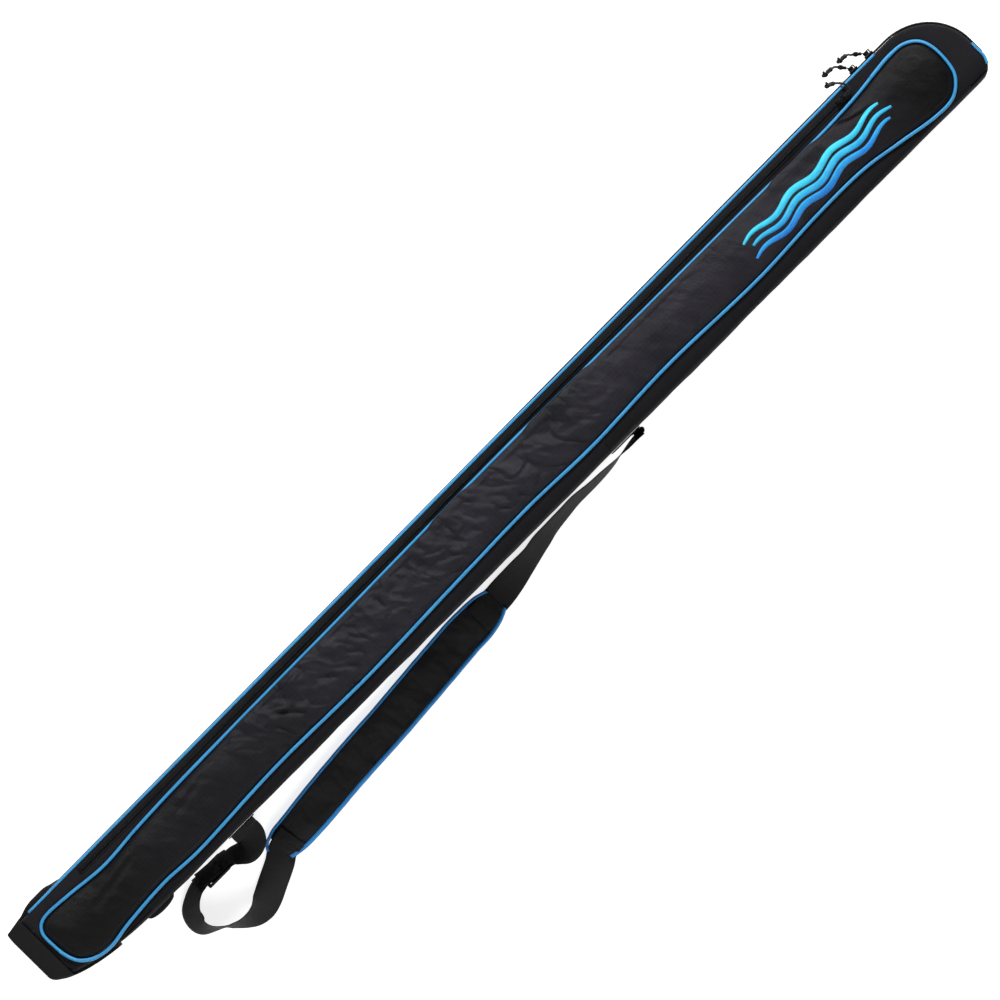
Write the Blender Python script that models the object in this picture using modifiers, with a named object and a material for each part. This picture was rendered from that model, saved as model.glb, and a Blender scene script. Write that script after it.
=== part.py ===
"""Rod case: a long semi-rigid fabric case that lies on its flat back.

+X runs to the top end, +Y to the zip side, -Y to the strap side, +Z out of the front.
The origin is the centre of the flat back face. All sizes are in metres.
"""
import bpy
import bmesh
import math
from mathutils import Matrix, Vector

# ---------------------------------------------------------------- driving dimensions
X_BASE = -0.806            # base end of the fabric body
X_TOP = 0.831              # top end of the fabric body
DEPTH = 0.088              # back face to front face
WALL = 0.0025              # stiffened fabric wall
GAP = 0.0003               # sewn pieces sit this far apart
ZIP_Z = 0.0790             # height of the main zip above the back
ZIP_HALF_GAP = 0.0012      # half the slit between the two chains
FRONT_START = -0.785       # base end of the opening front
HINGE_Z = 0.088            # front's fold line, height
HINGE_Y0 = -0.0532         # fold line's Y at X = 0
HINGE_SLOPE = -0.00275     # fold line's taper
LEFT_Y0 = 0.0569           # zip side wall at X = 0
LEFT_SLOPE = 0.00273
RIGHT_Y0 = -0.0585         # strap side wall at X = 0
RIGHT_SLOPE = -0.0025
PIPE_R = 0.0022            # pocket panel piping
EDGE_PIPE_R = 0.0018       # piping on the front's outer edge
PANEL_RISE = 0.0123        # how far the pocket panel stands proud
WEB_HALF = 0.0190          # 38 mm webbing
WEB_T = 0.0007             # half its thickness
CORD_R = 0.0015            # zip pull cord
STRAP_Y = -0.064           # strap's swing axis
STRAP_Z = 0.060

# ---------------------------------------------------------------- scene set-up
for old in list(bpy.data.objects):
    bpy.data.objects.remove(old)

case = bpy.data.collections.new("rod_case")
bpy.context.scene.collection.children.link(case)
guides = bpy.data.collections.new("guides")
bpy.context.scene.collection.children.link(guides)


def material(name, colour, roughness, metallic=0.0):
    mat = bpy.data.materials.new(name)
    mat.use_nodes = True
    shader = mat.node_tree.nodes["Principled BSDF"]
    shader.inputs["Base Color"].default_value = (*colour, 1.0)
    shader.inputs["Roughness"].default_value = roughness
    shader.inputs["Metallic"].default_value = metallic
    return mat


BLACK = (0.016, 0.016, 0.018)
PANEL = (0.028, 0.026, 0.034)
BLUE = (0.055, 0.330, 0.720)
DEEP_BLUE = (0.018, 0.200, 0.560)


def finish(obj, name, colour, roughness=0.8, metallic=0.0, smooth=False):
    """Name a piece, colour it and file it in the case's collection."""
    obj.name = name
    obj.data.name = name
    for owner in list(obj.users_collection):
        owner.objects.unlink(obj)
    case.objects.link(obj)
    obj.data.materials.clear()
    obj.data.materials.append(material(name + "_mat", colour, roughness, metallic))
    if smooth:
        for face in obj.data.polygons:
            face.use_smooth = True
    return obj


def new_object(name, mesh):
    obj = bpy.data.objects.new(name, mesh)
    bpy.context.scene.collection.objects.link(obj)
    return obj


def as_mesh(obj, weld=0.00001, turn_out=True):
    """Turn a curve or an object with modifiers into a plain welded mesh."""
    bpy.context.view_layer.update()
    graph = bpy.context.evaluated_depsgraph_get()
    mesh = bpy.data.meshes.new_from_object(obj.evaluated_get(graph))
    build = bmesh.new()
    build.from_mesh(mesh)
    bmesh.ops.remove_doubles(build, verts=build.verts, dist=weld)
    bmesh.ops.dissolve_degenerate(build, edges=build.edges, dist=weld)
    if turn_out:
        bmesh.ops.recalc_face_normals(build, faces=build.faces)
    build.to_mesh(mesh)
    build.free()
    made = new_object(obj.name + "_mesh", mesh)
    made.matrix_world = obj.matrix_world.copy()
    bpy.data.objects.remove(obj)
    return made


def set_origin(obj, point):
    """Move a piece's origin to a point while its shape stays where it is."""
    shift = Vector(point) - obj.matrix_world.translation
    obj.data.transform(Matrix.Translation(-shift))
    obj.matrix_world.translation = Vector(point)


# ---------------------------------------------------------------- curves and lofts
def through(points, count, cyclic=False):
    """Even samples of a smooth curve through hand-placed route points."""
    size = len(points)
    spans = size if cyclic else size - 1
    fine = []
    for span in range(spans):
        p1 = Vector(points[span])
        p2 = Vector(points[(span + 1) % size])
        p0 = Vector(points[(span - 1) % size]) if cyclic or span > 0 else p1 * 2 - p2
        p3 = Vector(points[(span + 2) % size]) if cyclic or span < spans - 1 else p2 * 2 - p1
        for step in range(12):
            t = step / 12
            a = (p1 * 2) + (p2 - p0) * t
            b = (p0 * 2 - p1 * 5 + p2 * 4 - p3) * t ** 2
            c = (p1 * 3 - p0 - p2 * 3 + p3) * t ** 3
            fine.append((a + b + c) * 0.5)
    fine.append(Vector(points[0]) if cyclic else Vector(points[-1]))
    reach = [0.0]
    for here, there in zip(fine, fine[1:]):
        reach.append(reach[-1] + (there.xyz - here.xyz if len(here) > 2 else there - here).length)
    total = count if cyclic else count - 1
    picked = []
    index = 0
    for k in range(count):
        goal = reach[-1] * k / total
        while index < len(reach) - 2 and reach[index + 1] < goal:
            index += 1
        part = (goal - reach[index]) / max(reach[index + 1] - reach[index], 1e-9)
        picked.append(fine[index].lerp(fine[index + 1], part))
    return picked


def thinned(points, turn, longest):
    """Drop samples of a closed run where it is nearly straight."""
    kept = [points[0]]
    turned = 0.0
    for before, here, after in zip(points, points[1:], points[2:]):
        turned += (here - before).angle(after - here, 0.0)
        far = (here - kept[-1]).length
        if turned > math.radians(turn) or far > longest:
            kept.append(here)
            turned = 0.0
    return kept


def tube(name, points, radius, cyclic=False, resolution=2):
    curve = bpy.data.curves.new(name, "CURVE")
    curve.dimensions = "3D"
    curve.bevel_depth = radius
    curve.bevel_resolution = resolution
    curve.use_fill_caps = True
    curve.resolution_u = 1
    curve.render_resolution_u = 0
    spline = curve.splines.new("POLY")
    spline.points.add(len(points) - 1)
    for point, place in zip(spline.points, points):
        point.co = (place[0], place[1], place[2], 1.0)
    spline.use_cyclic_u = cyclic
    return as_mesh(new_object(name, curve))


def flat_plate(name, loops, half_thickness):
    """A flat outline, with any holes, given thickness along its own Z."""
    curve = bpy.data.curves.new(name, "CURVE")
    curve.dimensions = "2D"
    curve.fill_mode = "BOTH"
    curve.extrude = half_thickness
    for loop in loops:
        spline = curve.splines.new("POLY")
        spline.points.add(len(loop) - 1)
        for point, place in zip(spline.points, loop):
            point.co = (place[0], place[1], 0.0, 1.0)
        spline.use_cyclic_u = True
    return as_mesh(new_object(name, curve))


def loft(name, rings, caps=True, cyclic=False):
    """Skin a run of equal rings; the twisting webbing and the padded pieces need this."""
    build = bmesh.new()
    rows = [[build.verts.new(p) for p in ring] for ring in rings]
    size = len(rings[0])
    last = len(rows) if cyclic else len(rows) - 1
    for i in range(last):
        here = rows[i]
        there = rows[(i + 1) % len(rows)]
        for j in range(size):
            k = (j + 1) % size
            build.faces.new((here[j], here[k], there[k], there[j]))
    if caps and not cyclic:
        build.faces.new(rows[0][::-1])
        build.faces.new(rows[-1])
    bmesh.ops.recalc_face_normals(build, faces=build.faces)
    mesh = bpy.data.meshes.new(name)
    build.to_mesh(mesh)
    build.free()
    return new_object(name, mesh)


def ribbon(name, stations, half_width, half_thickness):
    """Webbing: each station is x, y, z and its lean from upright in degrees."""
    rings = []
    count = len(stations)
    edge = half_width - half_thickness
    section = [(half_width, 0), (edge, half_thickness), (-edge, half_thickness)]
    section += [(-half_width, 0), (-edge, -half_thickness), (edge, -half_thickness)]
    for i, station in enumerate(stations):
        before = Vector(stations[max(i - 1, 0)][:3])
        after = Vector(stations[min(i + 1, count - 1)][:3])
        along = (after - before).normalized()
        side = Vector((-along.y, along.x, 0.0)).normalized()
        lean = math.radians(station[3])
        width = Vector((0, 0, math.cos(lean))) + side * math.sin(lean)
        width = (width - along * width.dot(along)).normalized()
        normal = along.cross(width)
        centre = Vector(station[:3])
        rings.append([centre + width * u + normal * v for u, v in section])
    return loft(name, rings)


def box(name, low, high):
    size = [b - a for a, b in zip(low, high)]
    middle = [(a + b) / 2 for a, b in zip(low, high)]
    bpy.ops.mesh.primitive_cube_add(size=1.0, location=middle)
    obj = bpy.context.active_object
    obj.name = name
    obj.scale = size
    bpy.context.view_layer.update()
    obj.data.transform(Matrix.Diagonal((*size, 1.0)))
    obj.scale = (1.0, 1.0, 1.0)
    return obj


def as_guide(obj):
    for owner in list(obj.users_collection):
        owner.objects.unlink(obj)
    guides.objects.link(obj)
    obj.hide_render = True
    obj.display_type = "WIRE"
    return obj


def cut(obj, tool, operation):
    as_guide(tool)
    change = obj.modifiers.new(operation.lower(), "BOOLEAN")
    change.operation = operation
    change.solver = "EXACT"
    change.object = tool
    made = as_mesh(obj, turn_out=False)
    bpy.data.objects.remove(tool)
    return made


# ---------------------------------------------------------------- body outline
def left_wall(x):
    return LEFT_Y0 + LEFT_SLOPE * x


def right_wall(x):
    return RIGHT_Y0 + RIGHT_SLOPE * x


def hinge_y(x):
    return HINGE_Y0 + HINGE_SLOPE * x


def arc(cx, cy, rx, ry, start, end, steps, round_start, round_end):
    """Corner points as x, y, outward normal and how strap-side-like the edge is."""
    points = []
    for k in range(steps + 1):
        t = k / steps
        angle = math.radians(start + (end - start) * t)
        normal = Vector((math.cos(angle) / rx, math.sin(angle) / ry)).normalized()
        place = Vector((cx + rx * math.cos(angle), cy + ry * math.sin(angle)))
        points.append((place, normal, round_start + (round_end - round_start) * t))
    return points


TOP_R = 0.022
CORNER_X = 0.0760
CORNER_Y0 = -0.0120


def body_outline(grow=0.0):
    """The case seen from the front, anticlockwise, grown outward by a given amount."""
    bend = -right_wall(-0.646) - 0.0185
    points = arc(-0.646, -0.0185, 0.160, bend, 182, 206, 6, 0.0, 0.3)
    points += arc(-0.646, -0.0185, 0.160, bend, 212, 270, 6, 0.4, 1.0)
    x = X_TOP - TOP_R
    points += arc(x, right_wall(x) + TOP_R, TOP_R, TOP_R, 270, 360, 5, 1.0, 0.0)
    x = X_TOP - CORNER_X
    points += arc(x, CORNER_Y0, CORNER_X, left_wall(x) - CORNER_Y0, 0, 90, 9, 0.0, 0.0)
    x = X_BASE + 0.014
    points += arc(x, left_wall(x) - 0.014, 0.014, 0.014, 90, 180, 3, 0.0, 0.0)
    return [(place + normal * grow, normal, fold) for place, normal, fold in points]


def body_form(name, grow, bottom, top):
    """Closed outer form of the case: square edges on the zip side, a fold on the other."""
    outline = body_outline(grow)
    steps = 4
    rings = []
    for k in range(steps + 1):
        angle = math.radians(90 * k / steps)
        ring = []
        for place, normal, fold in outline:
            inset = (0.005 + 0.009 * fold) * (1 - math.sin(angle))
            height = (0.005 + 0.013 * fold) * (1 - math.cos(angle))
            spot = place - normal * inset
            ring.append(Vector((spot.x, spot.y, bottom + height)))
        rings.append(ring)
    for k in range(steps + 1):
        angle = math.radians(90 * k / steps)
        ring = []
        for place, normal, fold in outline:
            inset = (0.005 + 0.005 * fold) * (1 - math.cos(angle))
            height = (0.005 + 0.011 * fold) * (1 - math.sin(angle))
            spot = place - normal * inset
            ring.append(Vector((spot.x, spot.y, top - height)))
        rings.append(ring)
    return loft(name, rings)


def hollow_body(name):
    form = body_form(name, 0.0, 0.0, DEPTH)
    shell = form.modifiers.new("wall", "SOLIDIFY")
    shell.thickness = WALL
    shell.offset = -1.0
    shell.use_even_offset = True
    return as_mesh(form, turn_out=False)


def opening_block(name, clearance, low_z):
    """Everything on the front's side of the zip and of the fold line."""
    start = FRONT_START - 0.002 + clearance
    y0 = hinge_y(start) + clearance
    y1 = hinge_y(0.9) + clearance
    outline = [(start, y0), (0.9, y1), (0.9, 0.09), (start, 0.09)]
    block = flat_plate(name, [outline], 0.03)
    block.location.z = low_z + 0.03
    bpy.context.view_layer.update()
    block.data.transform(Matrix.Translation((0, 0, low_z + 0.03)))
    block.location.z = 0.0
    return block


# ---------------------------------------------------------------- fabric body
back = hollow_body("back")
back = cut(back, opening_block("back_cut", -0.0005, ZIP_Z - ZIP_HALF_GAP), "DIFFERENCE")


def seam_block(name, outline, low_z, high_z):
    block = flat_plate(name, [outline], (high_z - low_z) / 2)
    block.data.transform(Matrix.Translation((0, 0, (low_z + high_z) / 2)))
    return block


def panel_block(name, shift):
    """The flat middle of the back, inside its rounded edges."""
    outline = []
    for place, normal, fold in body_outline():
        spot = place - normal * (0.0055 + 0.0090 * fold + shift)
        outline.append((spot.x, spot.y))
    return seam_block(name, outline, -0.01, 0.010)


def share(name, source, tool, operation):
    twin = new_object(name, source.data.copy())
    return finish(cut(twin, tool, operation), name, BLACK, 0.85)


SEAM = GAP / 2
CORNER_AT = X_TOP - CORNER_X
END_AT = X_TOP - TOP_R
BEND_AT = -0.646
STRIP_AT = FRONT_START - 0.0015
share("back_panel", back, panel_block("panel_in", GAP), "INTERSECT")
ring = cut(back, panel_block("panel_out", -GAP), "DIFFERENCE")
zip_side = [(STRIP_AT + SEAM, 0), (CORNER_AT - SEAM, 0), (CORNER_AT - SEAM, 0.09)]
zip_side += [(STRIP_AT + SEAM, 0.09)]
share("zip_side_gusset", ring, seam_block("zip_side", zip_side, -0.01, 0.1), "INTERSECT")
strap_side = [(BEND_AT + SEAM, -0.09), (END_AT - SEAM, -0.09), (END_AT - SEAM, 0)]
strap_side += [(BEND_AT + SEAM, 0)]
share("strap_side_gusset", ring, seam_block("strap_side", strap_side, -0.01, 0.1), "INTERSECT")
top_end = [(CORNER_AT + SEAM, 0.09), (CORNER_AT + SEAM, -0.03), (END_AT + SEAM, -0.03)]
top_end += [(END_AT + SEAM, -0.09), (0.9, -0.09), (0.9, 0.09)]
share("top_end_gusset", ring, seam_block("top_end", top_end, -0.01, 0.1), "INTERSECT")
base_end = [(-0.9, -0.09), (BEND_AT - SEAM, -0.09), (BEND_AT - SEAM, -0.02)]
base_end += [(STRIP_AT - SEAM, -0.02), (STRIP_AT - SEAM, 0.09), (-0.9, 0.09)]
share("base_gusset", ring, seam_block("base_end", base_end, -0.01, 0.1), "INTERSECT")
bpy.data.objects.remove(ring)

front = hollow_body("front")
front = cut(front, opening_block("front_keep", 0.0005, ZIP_Z + ZIP_HALF_GAP), "INTERSECT")
finish(front, "front_shell", BLACK, 0.85, smooth=False)
set_origin(front, (0, hinge_y(0), HINGE_Z))


def board(name, inset, start, end, low_z, thickness):
    """A stiffening sheet that follows the body's outline inside the wall."""
    outline = []
    for place, normal, fold in body_outline(-inset):
        outline.append((min(max(place.x, start), end), place.y))
    clean = [outline[0]]
    for place in outline[1:]:
        if (Vector(place) - Vector(clean[-1])).length > 0.001:
            clean.append(place)
    plate = flat_plate(name, [clean], thickness / 2)
    plate.data.transform(Matrix.Translation((0, 0, low_z + thickness / 2)))
    return plate


finish(board("back_board", 0.018, X_BASE, X_TOP, WALL + GAP, 0.0015), "back_stiffener",
       (0.05, 0.05, 0.055), 0.7)
front_board = board("front_board", 0.014, FRONT_START + 0.004, X_TOP,
                    DEPTH - WALL - GAP - 0.0015, 0.0015)
finish(front_board, "front_stiffener", (0.05, 0.05, 0.055), 0.7)
set_origin(front_board, (0, hinge_y(0), HINGE_Z))

base_board = box("base_board", (X_BASE + 0.0029, -0.016, 0.008), (X_BASE + 0.0049, 0.038, 0.072))
finish(base_board, "base_stiffener", (0.05, 0.05, 0.055), 0.7)

# ---------------------------------------------------------------- moulded base cap
CAP_T = 0.0042
cap = body_form("cap", CAP_T, -GAP, DEPTH + 0.0034)
for vertex in cap.data.vertices:
    vertex.co.x = max(vertex.co.x, X_BASE - 0.0060)
inside = body_form("cap_inside", GAP, 0.0, DEPTH + GAP)
cap = cut(cap, inside, "DIFFERENCE")
boot = [(-0.90, -0.02), (-0.722, -0.02), (-0.725, 0.047), (-0.735, 0.064), (-0.752, 0.073)]
boot += [(-0.770, 0.0770), (FRONT_START - 0.0018, 0.0774), (FRONT_START - 0.0018, 0.12)]
boot += [(-0.90, 0.12)]
boot_block = flat_plate("boot_block", [boot], 0.09)
boot_block.data.transform(Matrix.Rotation(math.radians(90), 4, "X"))
cap = cut(cap, boot_block, "INTERSECT")
floor_block = box("floor_block", (-0.9, -0.09, -0.01), (-0.70, 0.09, 0.0))
cap = cut(cap, floor_block, "DIFFERENCE")
finish(cap, "base_cap", (0.012, 0.012, 0.013), 0.6)


# ---------------------------------------------------------------- main zip
def zip_route(offset, height, start=-0.735, end_y=-0.034):
    """Stations along the zip: up the zip side, round the top corner, across the top end."""
    outline = body_outline(offset)
    corner = [place for place, normal, fold in outline]
    first = next(i for i, place in enumerate(corner) if place.x > 0.8 and place.y > end_y)
    final = max(i for i, place in enumerate(corner) if place.x > 0.74 and place.y > 0)
    around = corner[first:final + 1][::-1]
    stations = [(start, left_wall(start) + offset, height, 0.0)]
    stations += [(place.x, place.y, height, 0.0) for place in around]
    stations.append((X_TOP + offset, end_y, height, 0.0))
    return stations


TAPE_OUT = GAP + 0.0004
CHAIN_OUT = 0.0022
tape_back = ribbon("tape", zip_route(TAPE_OUT, ZIP_Z - 0.0072), 0.0050, 0.0004)
finish(tape_back, "main_zip_tape_back", BLACK, 0.9)
tape_front = ribbon("tape", zip_route(TAPE_OUT, ZIP_Z + 0.0026), 0.0013, 0.0004)
finish(tape_front, "main_zip_tape_front", BLACK, 0.9)
chain_back = ribbon("chain", zip_route(CHAIN_OUT, ZIP_Z - 0.0023), 0.0011, 0.0008)
finish(chain_back, "main_zip_chain_back", (0.010, 0.010, 0.011), 0.45)
chain_front = ribbon("chain", zip_route(CHAIN_OUT, ZIP_Z + 0.0023), 0.0011, 0.0008)
finish(chain_front, "main_zip_chain_front", (0.010, 0.010, 0.011), 0.45)
for piece in (tape_front, chain_front):
    set_origin(piece, (0, hinge_y(0), HINGE_Z))

stop_y = left_wall(-0.739)
stop = box("stop", (-0.7425, stop_y + GAP, ZIP_Z - 0.0055), (-0.7362, stop_y + 0.0030, ZIP_Z + 0.0005))
finish(stop, "main_zip_stop", (0.010, 0.010, 0.011), 0.4)

# ---------------------------------------------------------------- pocket panel and piping
PANEL_ROUTE = [
    (-0.7785, 0.004), (-0.7770, 0.026), (-0.7610, 0.0370), (-0.7200, 0.0350),
    (-0.6630, 0.0295), (-0.6000, 0.0335), (-0.5200, 0.0360), (-0.4000, 0.0370),
    (-0.2500, 0.0375), (-0.1000, 0.0390), (0.0500, 0.0400), (0.2000, 0.0390),
    (0.3600, 0.0380), (0.5000, 0.0370), (0.6120, 0.0352), (0.6800, 0.0378),
    (0.7200, 0.0420), (0.7450, 0.0440), (0.7680, 0.0420), (0.7850, 0.0310),
    (0.7925, 0.0120), (0.7920, -0.0150), (0.7850, -0.0345), (0.7640, -0.0500),
    (0.7300, -0.0505), (0.6800, -0.0420), (0.6200, -0.0330), (0.5400, -0.0322),
    (0.4300, -0.0360), (0.2800, -0.0315), (0.1400, -0.0355), (0.0300, -0.0322),
    (-0.1000, -0.0345), (-0.2600, -0.0385), (-0.4200, -0.0362), (-0.5600, -0.0415),
    (-0.6250, -0.0388), (-0.6900, -0.0428), (-0.7280, -0.0480), (-0.7520, -0.0440),
    (-0.7690, -0.0320), (-0.7765, -0.0150),
]


def lift(points, height):
    return [Vector((p[0], p[1], height)) for p in points]


PIPE_Z = DEPTH + GAP + PIPE_R
panel_loop = thinned(through(lift(PANEL_ROUTE, PIPE_Z), 600, cyclic=True), 11, 0.075)
piping = tube("panel_pipe", panel_loop, PIPE_R, cyclic=True)
finish(piping, "pocket_panel_piping", BLUE, 0.5, smooth=True)
set_origin(piping, (0, hinge_y(0), HINGE_Z))


def spine(place):
    """Nearest point of the panel's middle line."""
    return Vector((min(max(place.x, -0.745), 0.757), -0.001 + 0.003 * place.x, 0.0))


def inward_of(points, i):
    along = points[(i + 1) % len(points)] - points[i - 1]
    side = Vector((-along.y, along.x, 0)).normalized()
    toward = spine(points[i]) - points[i]
    return side if side.dot(toward) > 0 else -side


EDGE = PIPE_R + 0.0006
DOME = [(EDGE, 0.0, 0.0), (EDGE + 0.0006, 0.0, 0.30), (EDGE + 0.0032, 0.0, 0.56)]
DOME += [(0.0, 0.32, 0.78), (0.0, 0.60, 0.94), (0.0, 0.90, 1.0)]
rings = []
for offset, share, rise in DOME:
    ring = []
    for i, place in enumerate(panel_loop):
        spot = place + inward_of(panel_loop, i) * offset
        spot = spot.lerp(spine(place), share)
        ring.append(Vector((spot.x, spot.y, DEPTH + GAP + 0.0001 + PANEL_RISE * rise)))
    rings.append(ring)
build = bmesh.new()
rows = [[build.verts.new(p) for p in ring] for ring in rings]
for here, there in zip(rows, rows[1:]):
    for j in range(len(here)):
        k = (j + 1) % len(here)
        build.faces.new((here[j], here[k], there[k], there[j]))
build.faces.new(rows[-1])
bmesh.ops.recalc_face_normals(build, faces=build.faces)
if rows[-1][0].link_faces[0].normal.z < 0:
    bmesh.ops.reverse_faces(build, faces=build.faces)
mesh = bpy.data.meshes.new("panel")
build.to_mesh(mesh)
build.free()
panel = new_object("panel", mesh)
cloth = panel.modifiers.new("cloth", "SOLIDIFY")
cloth.thickness = 0.0012
cloth.offset = -1.0
cloth.use_rim = True
panel = as_mesh(panel)
finish(panel, "front_pocket_panel", PANEL, 0.6)
set_origin(panel, (0, hinge_y(0), HINGE_Z))

# ---------------------------------------------------------------- edge piping
edge_z = DEPTH + 0.0003
side_run = []
for k in range(9):
    x = -0.772 + (0.735 + 0.772) * k / 8
    side_run.append(Vector((x, left_wall(x) - 0.0005, edge_z)))
side_pipe = tube("side_pipe", side_run, EDGE_PIPE_R)
finish(side_pipe, "left_edge_piping", BLUE, 0.5, smooth=True)
set_origin(side_pipe, (0, hinge_y(0), HINGE_Z))

top_route = [(X_TOP - 0.0005, -0.0180, edge_z), (X_TOP - 0.0005, -0.0280, edge_z)]
top_route += [(X_TOP - 0.0007, -0.0400, edge_z), (X_TOP - 0.0046, -0.0500, edge_z)]
top_pipe = tube("top_pipe", through(top_route, 7), EDGE_PIPE_R)
finish(top_pipe, "top_edge_piping", BLUE, 0.5, smooth=True)
set_origin(top_pipe, (0, hinge_y(0), HINGE_Z))

fold = []
for k in range(5):
    x = -0.64 + 1.40 * k / 4
    fold.append((x, hinge_y(x) + 0.0058, 0.0836, 64.0))
hinge_tape = ribbon("hinge_tape", fold, 0.0026, 0.0003)
finish(hinge_tape, "hinge_tape", BLACK, 0.9)
set_origin(hinge_tape, (0, hinge_y(0), HINGE_Z))

# ---------------------------------------------------------------- pocket zip
POCKET_Y = 0.0470
pocket_run = []
for k in range(6):
    x = -0.690 + 1.370 * k / 5
    pocket_run.append((x, POCKET_Y + 0.0012 * x, DEPTH + GAP + 0.0004, 90.0))
pocket_tape = ribbon("pocket_tape", pocket_run, 0.0050, 0.0004)
finish(pocket_tape, "pocket_zip_tape", BLACK, 0.9)
pocket_chain_run = [(x, y, DEPTH + 0.0022, lean) for x, y, z, lean in pocket_run]
pocket_chain = ribbon("pocket_chain", pocket_chain_run, 0.0020, 0.0008)
finish(pocket_chain, "pocket_zip_chain", (0.010, 0.010, 0.011), 0.45)
for piece in (pocket_tape, pocket_chain):
    set_origin(piece, (0, hinge_y(0), HINGE_Z))


# ---------------------------------------------------------------- sliders, tabs and cords
def slider_profile(points, length):
    """A slider's cross-section drawn in Y and Z, run along X."""
    body = flat_plate("slider", [points], length / 2)
    turn = Matrix(((0, 0, 1, 0), (1, 0, 0, 0), (0, 1, 0, 0), (0, 0, 0, 1)))
    body.data.transform(turn)
    return body


def bridge(name, reach):
    """The loop on a slider's face that the pull tab's bar runs through."""
    outer = [(-0.0050, -0.0008), (0.0050, -0.0008), (0.0050, reach - 0.001)]
    outer += [(0.0040, reach), (-0.0040, reach), (-0.0050, reach - 0.001)]
    hole = [(-0.0034, 0.0001), (0.0034, 0.0001), (0.0034, reach - 0.0014)]
    hole += [(-0.0034, reach - 0.0014)]
    return flat_plate(name, [outer, hole], 0.0011)


def pull_tab(name, length):
    """A flat tab with a window at its hinge bar and a hole for the cord."""
    outer = [(-0.0009, -0.0036), (length - 0.001, -0.0032), (length, -0.0020)]
    outer += [(length, 0.0020), (length - 0.001, 0.0032), (-0.0009, 0.0036)]
    window = [(0.0009, -0.0019), (0.0068, -0.0019), (0.0068, 0.0019), (0.0009, 0.0019)]
    eye = [(length - 0.0045, -0.0011), (length - 0.0025, -0.0011)]
    eye += [(length - 0.0025, 0.0011), (length - 0.0045, 0.0011)]
    return flat_plate(name, [outer, window, eye], 0.0006)


def cord_and_knot(prefix, route, samples=12):
    points = through(route, samples)
    cord = tube(prefix + "_cord", points, CORD_R, resolution=2)
    finish(cord, prefix + "_cord", (0.012, 0.012, 0.014), 0.8, smooth=True)
    along = (points[-1] - points[-2]).normalized()
    place = points[-1] + along * (0.0032 + GAP)
    bpy.ops.mesh.primitive_uv_sphere_add(segments=10, ring_count=6, radius=0.0032, location=place)
    knot = bpy.context.active_object
    finish(knot, prefix + "_knot", (0.012, 0.012, 0.014), 0.8, smooth=True)
    return cord, knot


METAL = (0.020, 0.020, 0.022)


def main_slider(prefix, x, yaw, hang):
    """A slider that straddles the slit: outer plate, web in the slit, inner plate."""
    wall = left_wall(x)
    out_a = wall + 0.0041
    out_b = wall + 0.0057
    in_a = wall - WALL - 0.0022
    in_b = wall - WALL - 0.0008
    low = ZIP_Z - 0.0052
    high = ZIP_Z + 0.0052
    web = 0.0007
    section = [(in_a, low), (in_b, low), (in_b, ZIP_Z - web), (out_a, ZIP_Z - web)]
    section += [(out_a, low + 0.0006), (out_b, low + 0.0012), (out_b, high - 0.0012)]
    section += [(out_a, high - 0.0006), (out_a, ZIP_Z + web), (in_b, ZIP_Z + web)]
    section += [(in_b, high), (in_a, high)]
    body = slider_profile(section, 0.0130)
    body.data.transform(Matrix.Translation((x, 0, 0)))
    loop = bridge("bridge", 0.0048)
    loop.data.transform(Matrix.Translation((x, out_b, ZIP_Z)))
    body = cut(body, loop, "UNION")
    finish(body, prefix, METAL, 0.35, 0.6)
    set_origin(body, (x, out_b, ZIP_Z))
    pivot = Vector((x - 0.0005, out_b + 0.0018, ZIP_Z))
    tab = pull_tab("tab", 0.0150)
    turn = Matrix.Rotation(math.radians(yaw), 4, "Z")
    upright = Matrix.Rotation(math.radians(90), 4, "X")
    tab.data.transform(Matrix.Translation(pivot) @ turn @ upright)
    finish(tab, prefix + "_tab", METAL, 0.35, 0.6)
    set_origin(tab, pivot)
    heading = Vector((math.cos(math.radians(yaw)), math.sin(math.radians(yaw)), 0))
    start = pivot + heading * (0.0150 + CORD_R + GAP)
    route = [start + Vector((0, 0, 0.0014)), start + heading * 0.003 + Vector((0, 0, -0.0050))]
    route += [start + Vector(step) for step in hang]
    cord, knot = cord_and_knot(prefix, route)
    set_origin(cord, pivot)
    set_origin(knot, pivot)


main_slider("main_slider_upper", 0.7300, 140.0,
            [(-0.0030, 0.0045, -0.022), (-0.0060, 0.0060, -0.044), (-0.0120, 0.0070, -0.060)])
main_slider("main_slider_lower", 0.7030, 128.0,
            [(-0.0020, 0.0035, -0.020), (-0.0060, 0.0048, -0.042), (-0.0130, 0.0055, -0.058)])

px = 0.6640
py = POCKET_Y + 0.0012 * px
chain_top = DEPTH + 0.0030
section = [(py - 0.0040, DEPTH + 0.0014), (py - 0.0028, DEPTH + 0.0014)]
section += [(py - 0.0028, chain_top + GAP), (py + 0.0028, chain_top + GAP)]
section += [(py + 0.0028, DEPTH + 0.0014), (py + 0.0040, DEPTH + 0.0014)]
section += [(py + 0.0040, chain_top + 0.0010), (py + 0.0030, chain_top + 0.0019)]
section += [(py - 0.0030, chain_top + 0.0019), (py - 0.0040, chain_top + 0.0010)]
pocket_slider = slider_profile(section, 0.0110)
pocket_slider.data.transform(Matrix.Translation((px, 0, 0)))
face_z = chain_top + 0.0019
loop = bridge("bridge", 0.0042)
loop.data.transform(Matrix.Translation((px, py, face_z)) @ Matrix.Rotation(math.radians(90), 4, "X"))
pocket_slider = cut(pocket_slider, loop, "UNION")
finish(pocket_slider, "pocket_slider", METAL, 0.35, 0.6)
set_origin(pocket_slider, (px, py, face_z))
pivot = Vector((px + 0.0004, py, face_z + 0.0017))
tab = pull_tab("tab", 0.0140)
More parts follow.
